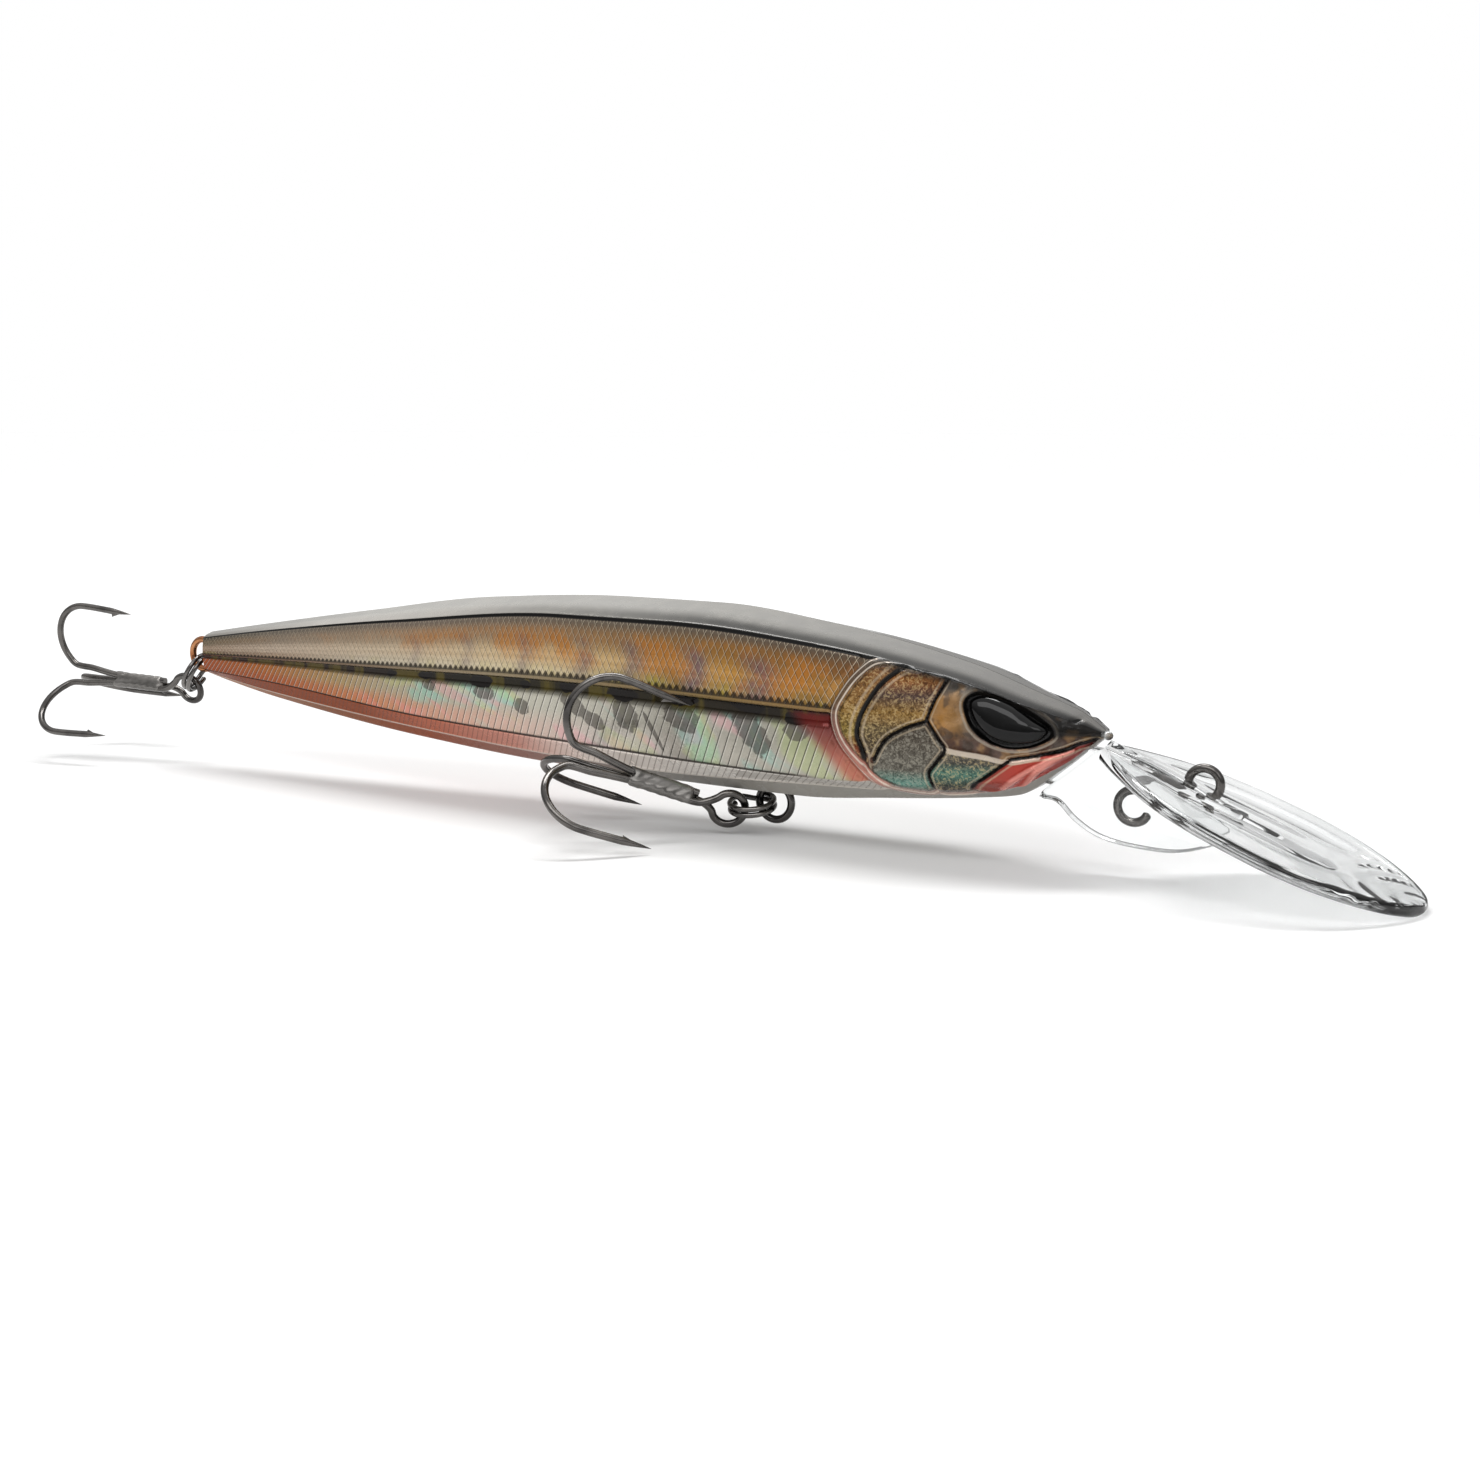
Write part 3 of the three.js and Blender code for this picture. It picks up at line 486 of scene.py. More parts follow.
def blots(x, v, places):
    """1 at the middle of the nearest blot, 0 on its edge, down to -1 outside."""
    best = np.full(x.shape, -1.0)
    for at_x, at_v, half_x, half_v, lean in places:
        off = np.hypot((x - at_x - lean * (v - at_v)) / half_x, (v - at_v) / half_v)
        best = np.maximum(best, 1 - off)
    return best


def bars(x, v):
    """Strength of the soft upright bars."""
    wander = 0.5 * np.sin(9 * v) + 0.9 * (v - 1.6)
    shades = [strength * bump(x - at_x - wander, half) for at_x, half, strength in BARS]
    return np.maximum.reduce(shades) * ease(1.2, 1.5, v)


def relief_of(x, z, v, fields):
    """How far the surface stands out from the plain section, in mm."""
    run = scale_run(x)
    behind = 1 - ease(-0.9, -0.4, fields["rim"])
    tail = ease(0.5, 4, x)
    up = run + RISE * (v - 1)
    down = run - RISE * (v - 1)
    tooth = np.minimum(np.abs((up % 1) - 0.5), np.abs((down % 1) - 0.5)) * 2
    scales = ease(1.05, 1.12, v) * (1 - ease(1.9, 1.96, v))
    out = 0.035 * (tooth - 0.5) * scales * behind * tail
    rib = (run * RIB_SHARE + 3.2 * (v - 2.2)) % 1
    ribs = ease(2.22, 2.3, v) * (1 - ease(2.9, 2.97, v))
    out += 0.06 * (rib - 0.5) * ribs * behind * tail
    strip = ease(3.06, 3.14, v) * (1 - ease(3.85, 3.95, v))
    out += 0.05 * (np.abs(((run * 1.1 + 2.0 * (v - 3)) % 1) - 0.5) - 0.25) * strip * behind * tail
    slim = np.interp(x, [0, 30, 60], [0.45, 0.8, 1.0])
    out -= 0.12 * slim * bump(v - 1.03, 0.025) * ease(1, 5, x)
    out += 0.16 * slim * bump(v - 1.995, 0.03) * behind
    out -= 0.34 * slim * ease(2.02, 2.06, v) * (1 - ease(2.16, 2.26, v)) * behind
    out -= 0.14 * slim * bump(v - 3.01, 0.035) * (1 - ease(88, 92, x))
    out += 0.10 * slim * bump(v - 4.0, 0.06) * behind
    flank = ease(1.0, 1.06, v) * (1 - ease(4.0, 4.3, v))
    inside = ease(-0.2, 0.5, fields["rim"])
    head = 0.26 * bump(fields["rim"] - 0.1, 0.42) + 0.13 * bump(fields["rim"] - 1.0, 0.22)
    head -= 0.22 * bump(fields["rim"] + 0.75, 0.35)
    plate = 1 - bump(fields["groove"], 0.55)
    head += inside * (0.16 * plate - 0.26 * bump(fields["groove"], 0.16))
    head -= 0.28 * bump(fields["front"], 0.22)
    head += 0.1 * bump(fields["cheek_line"] - 0.2, 0.22) * (1 - ease(-0.2, 0.3, fields["socket"]))
    head += 0.26 * bump(fields["jaw_ridge"], 0.24)
    head -= 0.5 * ease(-0.05, 0.45, fields["socket"])
    head += 0.16 * bump(fields["socket"] + 0.3, 0.28)
    out = out * (1 - inside) + head * flank
    out -= 0.3 * bump(fields["nostril"], NOSTRIL[2])
    wander = np.sin(2.1 * x + 3.3 * z) * np.sin(3.7 * x - 2.4 * z) + 0.6 * np.sin(7.3 * x + 1.7 * z)
    return out + 0.018 * wander * inside * flank


def body_half(side, name, material):
    """One closed moulded half: detailed outer skin, flat parting face and a plain hollow inside."""
    x, v = STATIONS, SAMPLES
    y, z = section_points(x, v)
    for _ in range(3):
        y[:, 1:-1] = (y[:, :-2] + 2 * y[:, 1:-1] + y[:, 2:]) / 4
        z[:, 1:-1] = (z[:, :-2] + 2 * z[:, 1:-1] + z[:, 2:]) / 4
    grid_x = np.repeat(x[:, None], len(v), axis=1)
    grid_v = np.repeat(v[None], len(x), axis=0)
    points = np.stack([grid_x, y, z], axis=2)
    normal = np.cross(np.gradient(points, axis=0), np.gradient(points, axis=1))
    normal /= np.linalg.norm(normal, axis=2, keepdims=True)
    normal *= np.sign(normal[:, len(v) // 2, 1]).mean()
    fields = head_fields(grid_x, z)
    points += normal * relief_of(grid_x, z, grid_v, fields)[..., None]
    points[..., 1] = np.maximum(points[..., 1], SEAM / 2)
    points[:, 0, 1] = points[:, -1, 1] = SEAM / 2
    points[..., 0] = np.clip(points[..., 0], TAIL_FACE, BODY_LENGTH)

    first = int(np.searchsorted(x, CAVITY[0]))
    last = int(np.searchsorted(x, CAVITY[1])) - 1
    inner_v = np.array([0, 0.6, 1, 1.35, 1.7, 2, 2.35, 2.7, 3, 3.7, 4.5, 5.2, 6])
    inner_y, inner_z = section_points(x[first:last + 1], inner_v)
    middle_z = (inner_z.max(axis=1) + inner_z.min(axis=1))[:, None] / 2
    inner_y = np.maximum(inner_y - INNER_WALL, SEAM / 2)
    inner_z = middle_z + (inner_z - middle_z) * (1 - 2 * INNER_WALL / np.ptp(inner_z, axis=1))[:, None]
    inner_y[:, 0] = inner_y[:, -1] = SEAM / 2
    inner_x = np.repeat(x[first:last + 1, None], len(inner_v), axis=1)
    inner = np.stack([inner_x, inner_y, inner_z], axis=2)

    columns = len(v)
    hollow = len(inner_v)
    base = points.shape[0] * columns

    def outer_at(i, k):
        return i * columns + k

    def inner_at(i, k):
        return base + (i - first) * hollow + k

    end = columns - 1
    faces = [(outer_at(i, k), outer_at(i, k + 1), outer_at(i + 1, k + 1), outer_at(i + 1, k))
             for i in range(len(x) - 1) for k in range(end)]
    for i in range(len(x) - 1):
        upper = [outer_at(i, 0), outer_at(i + 1, 0)]
        lower = [outer_at(i + 1, end), outer_at(i, end)]
        if first <= i < last:
            faces += [(inner_at(i, k), inner_at(i + 1, k), inner_at(i + 1, k + 1), inner_at(i, k + 1))
                      for k in range(hollow - 1)]
            faces.append((*upper, inner_at(i + 1, 0), inner_at(i, 0)))
            faces.append((inner_at(i, hollow - 1), inner_at(i + 1, hollow - 1), *lower))
        elif i == first - 1:
            faces.append((*upper, inner_at(first, 0), inner_at(first, hollow - 1), *lower))
        elif i == last:
            faces.append((*upper, *lower, inner_at(last, hollow - 1), inner_at(last, 0)))
        else:
            faces.append((*upper, *lower))
    faces.append(tuple(outer_at(0, k) for k in reversed(range(columns))))
    faces.append(tuple(outer_at(len(x) - 1, k) for k in range(columns)))
    faces.append(tuple(inner_at(first, k) for k in range(hollow)))
    faces.append(tuple(inner_at(last, k) for k in reversed(range(hollow))))
    everything = np.vstack([points.reshape(-1, 3), inner.reshape(-1, 3)])
    everything[:, 1] *= side
    values = {"bx": grid_x, "bv": grid_v, "bu": scale_run(grid_x), "bz": z,
              "patch": blots(grid_x, grid_v, PATCHES), "stain": blots(grid_x, grid_v, STAINS),
              "bar": bars(grid_x, grid_v), **fields}
    unseen = np.zeros(inner.shape[0] * hollow)
    attributes = {key: np.concatenate([value.ravel(), unseen]) for key, value in values.items()}
    build(f"{name}_half", everything, faces, "lure_body", material, f"body_shell_{name}", "body_plastic",
          attributes)


def body_material():
    """Painted foil under clear plastic, from the back down to the belly, with the head on top."""
    n = Look("body_paint")
    x, v, u, z = (n.attribute(key) for key in ("bx", "bv", "bu", "bz"))
    colour = back_colour(n, x, v)
    colour = n.mix(n.smooth(v, 0.985, 1.0), colour, upper_colour(n, x, v, u))
    colour = n.mix(n.between(v, 0.975, 0.99, 1.045, 1.07), colour, "#060505")
    colour = lower_colour(n, colour, x, v, u)
    colour, sparkle = head_colour(n, colour, x, v, z)
    place = n.position()
    colour = n.mix(n.smooth(n.noise(place, 900.0), 0.35, 0.75, 0.0, 0.10), colour, "#f4efe6", "SOFT_LIGHT")
    n.set(Base_Color=colour, Metallic=n.smooth(v, 4.1, 3.8, 0.0, 0.42) + n.smooth(v, 1.02, 0.96) * 0.1,
          Roughness=n.smooth(n.noise(place, 420.0, 3.0), 0.3, 0.7, 0.22, 0.30),
          Coat_Weight=0.28, Coat_Roughness=0.035, Coat_IOR=1.45, Specular_IOR_Level=0.12)
    waves = n.noise(n.vector(x, v * 7.0), 3.0) * n.smooth(v, 1.0, 1.05, 0.0, 0.2)
    n.relief(sparkle + waves, 0.35, 0.00012)
    return n.material


def back_colour(n, x, v):
    """Back lighter along the ridge and darker down its sides: painted shade on the slopes turned from the
    light.
    """
    ridge = n.along(x, [(0, "#a8a6a1"), (30, "#c0beb8"), (60, "#b0aea9"), (80, "#9e9c97"), (100, "#8f8d89"),
                        (120, "#6f6d6a")])
    # Painted shade: the sides of the back are coloured darker than the ridge.
    side = n.along(x, [(0, "#736f68"), (22, "#bebab4"), (42, "#aca8a2"), (58, "#807e79"), (80, "#3c3b39"),
                       (93, "#343330"), (120, "#242322")])
    return n.mix(n.smooth(v, 0.38, 0.85), ridge, side)


def upper_colour(n, x, v, u):
    """Scaled flank from the roof edge down to the waist."""
    upper = n.along(x, [(0, "#4c473e"), (12, "#6d665d"), (35, "#776c62"), (65, "#6a6054"), (95, "#5c5044")])
    rows_down = [
        (1.06, 1.32, [(0, "#6f6350"), (15, "#8c7d6d"), (35, "#a58b70"), (62, "#9a7650"), (82, "#93672f"),
                      (96, "#7c5430")]),
        (1.32, 1.62, [(0, "#8c7460"), (14, "#ac9a88"), (36, "#bca98e"), (62, "#c9ac7c"), (82, "#b9873f"),
                      (96, "#9c7038")]),
        (1.66, 1.9, [(0, "#4a3325"), (14, "#8d7460"), (32, "#b9ae9a"), (55, "#d3c3a2"), (72, "#a08a52"),
                     (96, "#86622f")]),
    ]
    for start, end, stops in rows_down:
        upper = n.mix(n.smooth(v, start, end), upper, n.along(x, stops))
    glow = n.smooth(n.noise(n.vector(x * 0.13, v * 1.2, 4.0), 1.6), 0.42, 0.62) * n.smooth(v, 1.12, 1.4)
    glow = glow * n.smooth(v - x / 150.0, 1.5, 1.15)
    upper = n.mix(glow * n.smooth(x, 10, 60, 0.15, 0.75), upper, "#b8752f")
    lime = n.smooth(n.noise(n.vector(x * 0.2, v, 9.0), 1.5), 0.48, 0.6) * n.smooth(v, 1.72, 1.88)
    upper = n.mix(lime * n.smooth(x, 55, 78, 0.2, 0.6), upper, "#a69a3c")
    wobble = n.noise(n.vector(x * 0.5, v * 3.0), 1.5, 3.0)
    upper = n.mix(n.attribute("bar") * n.smooth(wobble, 0.3, 0.6, 0.5, 1.0) * 0.78, upper, "#5f5162")
    rise = (v - 1.0) * RISE
    # Thin light lines just beside the scale lines: painted highlights on the scale edges.
    for line in (u + rise, u - rise):
        upper = n.mix(n.stripes(line + 0.09, 0.01, 0.045) * 0.5, upper, "#ecdcc0")
    for line, depth in ((u + rise, 0.5), (u - rise, 0.75)):
        upper = n.mix(n.stripes(line, 0.02, 0.05) * depth, upper, "#241b14")
    zig = n.math("ABSOLUTE", n.math("FRACT", u) - 0.5)
    upper = n.mix(n.smooth(v + zig * 0.16, 1.935, 1.965) * 0.85, upper, "#1d1712")
    return n.mix(n.smooth(v, 1.78, 1.92) * n.stripes(u + rise, 0.05, 0.05) * 0.35, upper, "#231c16")


def lower_colour(n, colour, x, v, u):
    """Dark band, ribbed flank, belly strip and belly, laid over the colour of the flank above."""
    silver = n.along(x, [(0, "#8a3a04"), (12, "#94500f"), (24, "#96794e"), (40, "#a09c88"), (58, "#b4b1a4"),
                         (80, "#a5a196"), (92, "#8f8d80")])
    salmon = n.along(x, [(0, "#843804"), (15, "#964a18"), (30, "#b07048"), (48, "#c39f8e"), (66, "#c2bab2"),
                         (90, "#aaa79a")])
    lower = n.mix(n.smooth(v, 2.45, 2.85), silver, salmon)
    drift = n.noise(n.vector(x * 0.11 - v * 0.9, v * 0.7, 1.5), 1.7, 1.5, 0.5, 0.5, "Color")
    mid_body = n.smooth(x, 22, 36) * 0.5
    for channel, tint in (("Red", "#7fd2cf"), ("Green", "#e2a3b4"), ("Blue", "#b9c98a")):
        amount = n.smooth(n.add("SeparateColor", (drift,), channel), 0.53, 0.64) * mid_body
        lower = n.mix(amount, lower, tint, "SOFT_LIGHT")
        lower = n.mix(amount * 0.3, lower, tint)
    ragged = (n.noise(n.vector(x, v * 8.0), 0.9, 3.0) - 0.5) * 0.9
    lower = n.mix(n.smooth(n.attribute("stain") + ragged, -0.02, 0.12) * 0.78, lower, "#4f4a45")
    lean = u * RIB_SHARE + (v - 2.2) * 3.2
    lower = n.mix(n.stripes(lean, 0.035, 0.06) * 0.8, lower, "#2b2622")
    # Thin light line beside each dark rib line: painted highlight on the rib edges.
    lower = n.mix(n.stripes(lean - 0.12, 0.03, 0.05) * 0.35, lower, "#f0ece2")
    colour = n.mix(n.smooth(v, 2.14, 2.24), colour, lower)

    band = n.along(x, [(0, "#2b1206"), (25, "#1e120a"), (45, "#161206"), (65, "#221d0a"), (90, "#19120a")])
    olive_patch = n.noise(n.vector(x * 0.25, 0.0, 3.0), 1.8)
    band = n.mix(n.smooth(olive_patch, 0.48, 0.62) * 0.5, band, "#5f5214")
    colour = n.mix(n.between(v, 2.015, 2.035, 2.17, 2.32), colour, band)
    patch = n.smooth(n.attribute("patch") + ragged, -0.02, 0.15)
    colour = n.mix(patch * n.smooth(v, 2.0, 2.03), colour, "#100b08")
    waist = n.along(x, [(0, "#5c3220"), (20, "#7a6250"), (50, "#9c8c70"), (80, "#8d7448"), (100, "#96734a")])
    colour = n.mix(n.between(v, 1.965, 1.985, 2.015, 2.035) * 0.85, colour, waist)

    wedge = n.smooth(x + (v - 2.1) * -6.5, 88.2, 90.6) * n.between(v, 2.02, 2.12, 2.9, 3.4)
    colour = n.mix(wedge * 0.88, colour, n.mix(n.smooth(v, 2.15, 2.9), "#5e0f0a", "#b0604f"))
    strip = n.along(x, [(0, "#6f2c02"), (14, "#7c3404"), (28, "#883c10"), (40, "#b46348"), (52, "#cb8e7e"),
                        (62, "#f0e4da"), (78, "#f4eee6"), (92, "#bdb8b0")])
    strip = n.mix(n.stripes(u * 1.1 + (v - 3.0) * 2.0, 0.05, 0.08) * 0.5, strip, "#4f3a30")
    colour = n.mix(n.smooth(v, 2.98, 3.02), colour, strip)
    edge = n.between(v, 2.955, 2.985, 3.03, 3.06) * n.smooth(x, 93, 88)
    colour = n.mix(edge * 0.9, colour, "#20160f")
    belly = n.along(x, [(0, "#8c5424"), (20, "#77400f"), (38, "#88401f"), (55, "#8d6a60"), (68, "#8a8680"),
                        (95, "#97948d"), (120, "#8a8681")])
    colour = n.mix(n.smooth(v, 3.9, 4.05), colour, belly)
    return n.mix(n.between(v, 3.93, 3.98, 4.04, 4.12) * 0.55, colour, "#d8cfc4")


def head_colour(n, colour, x, v, z):
    """Gill plates, cheek, snout and jaw laid over the flank's colour, and the grain of the plates."""
    place = n.position()
    hammer = n.noise(place, 2600.0, 4.0, 0.65, 1.2)
    spark = n.smooth(hammer, 0.50, 0.62)
    rim = n.attribute("rim")
    on_flank = n.between(v, 0.99, 1.03, 3.95, 4.15)
    within = n.smooth(rim, 0.45, 0.9) * on_flank
    height = z / 24.0
    silver = n.mix(n.smooth(n.noise(place, 700.0, 3.0), 0.4, 0.65), "#3a352d", "#77716a")
    cheek = n.ramp((x - 103.0) / 17.0, [(0.0, "#8a6230"), (0.16, "#b4803e"), (0.28, "#7d603c"),
                                        (0.40, "#3d3833"), (0.7, "#2c2a27"), (0.84, "#151413"),
                                        (1.0, "#090909")])
    cheek = n.mix(n.smooth(z, 16.2, 17.6), cheek, "#3a3733")
    cheek = n.mix(n.smooth(z, 14.2, 12.2), cheek, "#4a2e22")
    gleam = n.noise(n.vector(x * 0.5, 3.0, z * 0.5), 1.3)
    cheek = n.mix(n.smooth(gleam, 0.52, 0.66, 0.0, 0.5), cheek, "#b58a58")
    cheek = n.mix(n.smooth(gleam, 0.48, 0.36, 0.0, 0.7), cheek, "#2b1c12")
    head = n.mix(0.28, cheek, silver)
    zones = {
        "rear": ("#d9c08a", [(0.36, "#6d1f1c"), (0.46, "#7a3a22"), (0.52, "#7c6a2c"), (0.64, "#84602c"),
                             (0.78, "#7d5430"), (0.84, "#4f4036")]),
        "second": ("#d9c08a", [(0.36, "#5a211d"), (0.45, "#463a2c"), (0.55, "#5a4a2e"), (0.62, "#8c6a36"),
                               (0.69, "#5d4a44"), (0.76, "#84501f"), (0.82, "#43382e")]),
        "middle": ("#aaa597", [(0.27, "#b07f76"), (0.32, "#5f8a7e"), (0.38, "#625f56"), (0.52, "#4f483e"),
                               (0.6, "#332b23")]),
        "lower": ("#d9c08a", [(0.27, "#8d6f68"), (0.33, "#3f4842"), (0.38, "#4b7568"), (0.43, "#4c4a44"),
                              (0.48, "#5d584f")]),
    }
    for name, (glint, stops) in zones.items():
        shade = n.mix(spark * 0.38, n.ramp(height, stops), glint)
        shade = n.mix(n.smooth(hammer, 0.50, 0.38, 0.0, 0.6), shade, "#1d160e")
        head = n.mix(n.smooth(n.attribute(name), -0.06, 0.1), head, shade)
    jaw = n.ramp((x - 107.0) / 13.0, [(0.0, "#84655e"), (0.2, "#8e4238"), (0.45, "#a83a2e"),
                                      (0.8, "#84281f"), (1.0, "#1f0c0a")])
    head = n.mix(n.smooth(n.attribute("jaw"), -0.06, 0.1), head, jaw)
    groove, socket = n.attribute("groove"), n.attribute("socket")
    lines = [
        (n.smooth(n.attribute("cheek_line"), 0.34, 0.18, 0.0, 0.75), "#cdbfae"),
        (n.smooth(n.attribute("jaw_ridge"), 0.3, 0.1, 0.0, 0.8), "#dc9184"),
        (n.smooth(groove, 0.24, 0.10), "#100d0b"),
        # Light line beside each groove: painted highlight on the groove's edge.
        (n.near(groove, 0.42, 0.14, 0.02, 0.4), "#c9b79c"),
        (n.smooth(n.attribute("front"), 0.34, 0.2), "#0d0b0a"),
        (n.smooth(socket, -0.05, 0.1), "#060606"),
        (n.near(socket, -0.2, 0.16, 0.05, 0.6), "#a59a8b"),
        (n.smooth(v, 1.30, 1.04) * n.smooth(x, 98, 104, 0.35, 0.9), "#1e1b18"),
    ]
    for amount, shade in lines:
        head = n.mix(amount, head, shade)
    colour = n.mix(within, colour, head)
    snout = n.smooth(x, 110.5, 117.0) * n.between(v, 0.8, 0.98, 2.05, 2.3)
    colour = n.mix(snout * 0.9, colour, "#121110")
    rim_shade = n.ramp(height, [(0.27, "#a88f86"), (0.36, "#b0796c"), (0.5, "#8a5f55"), (0.66, "#5f4f42"),
                                (0.83, "#4b443d")])
    colour = n.mix(n.near(rim, 0.14, 0.55, 0.38) * on_flank * 0.85, colour, rim_shade)
    # The two thin light lines along the gill rim are painted highlights.
    for place_on_rim, far, close, most, shade in ((-0.12, 0.11, 0.03, 0.7, "#e0d2c2"),
                                                  (0.42, 0.11, 0.03, 0.7, "#e0d2c2"),
                                                  (0.78, 0.16, 0.06, 0.55, "#241a14")):
        colour = n.mix(n.near(rim, place_on_rim, far, close, most) * on_flank, colour, shade)
    colour = n.mix(n.smooth(n.attribute("nostril"), 0.42, 0.3), colour, "#0b0b0b")
    crown = n.between(v, 0.96, 0.98, 1.05, 1.08) * n.smooth(x, 97, 101)
    return n.mix(crown, colour, "#070605"), hammer * within


# ---------- eyes ----------
def eye_plane(x, z):
    """How far out the plane of the eye lies."""
    return 5.0 - 0.27 * (x - 111.8) - 0.24 * (z - 14.7)


def eye_piece(side, name, outline, levels, material, replaced, slot):
    """Closed almond of rings, each with a share of the outline's size and a height off the eye plane."""
    ring = spline(outline, 72, closed=True)
    centre = ring.mean(axis=0)
    rings = []
    for share, height in levels:
        flat = centre + (ring - centre) * share
        depth = eye_plane(*flat.T)
        depth = (depth + 0.96 * height) * side
        rings.append(np.stack([flat[:, 0] + 0.26 * height, depth, flat[:, 1]], axis=1))
    return build(name, *skin(rings), "lure_body", material, replaced, slot)


def eye_dome_material():
    """Black gloss."""
    n = Look("eye_gloss")
    dust = n.noise(n.position(), 1500.0, 3.0)
    n.set(Base_Color=n.mix(n.smooth(dust, 0.45, 0.8, 0.0, 0.25), "#040404", "#17171a"),
          Roughness=n.smooth(dust, 0.3, 0.8, 0.03, 0.08), Coat_Weight=0.15, Coat_Roughness=0.02,
          Specular_IOR_Level=0.2)
    return n.material


def eye_foil_material():
    """Dark flecked foil round the eye."""
    n = Look("eye_surround")
    speck = n.noise(n.position(), 2200.0, 4.0, 0.7)
    n.set(Base_Color=n.mix(n.smooth(speck, 0.45, 0.7), "#0b0b0b", "#2b2a2a"), Metallic=0.4,
          Roughness=n.smooth(speck, 0.3, 0.7, 0.2, 0.4))
    n.relief(speck, 0.2, 0.0001)
    return n.material


# ---------- wires ----------
def swept(path, radii, sides=16):
    """Closed tube along a path with its own radius at each point."""
    path = np.asarray(path, float)
    tangent = np.gradient(path, axis=0)
    tangent /= np.linalg.norm(tangent, axis=1, keepdims=True)
    side = np.cross(tangent[0], [0.0, 0.0, 1.0])
    if np.linalg.norm(side) < 0.1:
        side = np.cross(tangent[0], [0.0, 1.0, 0.0])
    side /= np.linalg.norm(side)
    angles = 2 * np.pi * np.arange(sides) / sides
    rings = []
    for centre, way, radius in zip(path, tangent, radii):
        side = side - way * (side @ way)
        side /= np.linalg.norm(side)
        other = np.cross(way, side)
        rings.append(centre + radius * (np.cos(angles)[:, None] * side + np.sin(angles)[:, None] * other))
    return skin(rings)


def rounded_radii(path, radius, cap):
    """Constant radius with rounded ends."""
    run = np.concatenate([[0], np.cumsum(np.linalg.norm(np.diff(path, axis=0), axis=1))])
    near = np.minimum(run, run[-1] - run)
    return radius * np.sqrt(np.clip(1 - (1 - np.clip(near / cap, 0, 1)) ** 2, 0.02, 1))


def arc(cx, cz, radius, start, stop, count):
    """Points on an arc between two angles in degrees."""
    angles = np.radians(np.linspace(start, stop, count + 1))
    return [(cx + radius * math.cos(a), cz + radius * math.sin(a)) for a in angles]


def hanger_path(cx, cz, radius, heading, length):
    """Wire bent round an eye, with two legs that end in turned-out feet."""
    leg, turn = 0.62, 0.95
    neck = math.sqrt(radius**2 - leg**2)
    half = arc(0, 0, radius, 180, 36, 7)[1:]
    foot = arc(length - turn, leg + turn, turn, -90, 0, 3)
    upper = [*half, (neck + 0.75, leg + 0.04), (length - turn - 0.9, leg), *foot, (length, leg + turn + 0.8)]
    lower = [(u, -w) for u, w in reversed(upper)]
    c, s = math.cos(heading), math.sin(heading)
    local = lower + [(-radius, 0)] + upper
    return [(cx + u * c - w * s, 0.0, cz + u * s + w * c) for u, w in local]


def wire_material(name, shade, light, rough):
    """Plated wire with broad cloudy patches and fine dark flecks."""
    n = Look(name)
    place = n.position()
    broad = n.noise(place, 240.0, 3.0, 0.6)
    fine = n.noise(place, 3800.0)
    colour = n.mix(n.smooth(broad, 0.3, 0.7), shade, light)
    colour = n.mix(n.smooth(fine, 0.62, 0.75, 0.0, 0.25), colour, "#1b1a1a")
    n.set(Base_Color=colour, Metallic=1.0, Roughness=n.smooth(broad, 0.3, 0.7, rough, rough + 0.14))
    n.relief(fine * 0.5 + broad, 0.06, 0.00005)
    return n.material


def hook_curve(angle):
    """One hook of a treble, turned about the shank: (x along the shank, y, z)."""
    shank = TREBLE["spread"]
    bend = (TREBLE["gap"] - shank) / 2
    cx, cr = TREBLE["reach"] - bend, shank + bend
    flat = [(TREBLE["start"], shank), (TREBLE["junction"] - 3, shank),
            (TREBLE["junction"] - 0.4, shank + 0.02), (TREBLE["junction"] + 1.7, shank + 0.28),
            (TREBLE["junction"] + 3.8, shank + 0.62), *arc(cx, cr, bend, -54, 96, 9),
            (cx - bend * 1.15, cr + bend * 0.93)]
    return np.array([(x, -r * math.sin(angle), r * math.cos(angle)) for x, r in flat])


def tip_of(control):
    """Where a hook's point ends, and which way it points."""
    way = (control[-1] - control[-2]) / np.linalg.norm(control[-1] - control[-2])
    return control[-1] + way * POINT_LENGTH, way


def drawn_out(path, tips, plain):
    """Wire radius along a path that narrows to each tip, except at the plain samples."""
    gap = np.minimum.reduce([np.linalg.norm(path - tip, axis=1) for tip in tips])
    share = np.where(plain, 1, np.clip(gap / POINT_TAPER, 0, 1))
    return HOOK_WIRE * np.clip(share**0.8, 0.03, 1)


def barb(control):
    """Thin raised wedge cut up from the wire just behind a hook's point."""
    tip, way = tip_of(control)
    inward = control[-1] * (0, -1, -1)
    inward -= way * (inward @ way)
    inward /= np.linalg.norm(inward)
    side = np.cross(way, inward)
    front = tip - way * 1.5 + inward * 0.12
    root = tip - way * 3.0 + inward * 0.2
    crest = tip - way * 3.15 + inward * 0.82
    points = np.array([front, root + side * 0.16, root - side * 0.16, crest])
    return points, [(0, 2, 1), (0, 1, 3), (0, 3, 2), (1, 2, 3)]


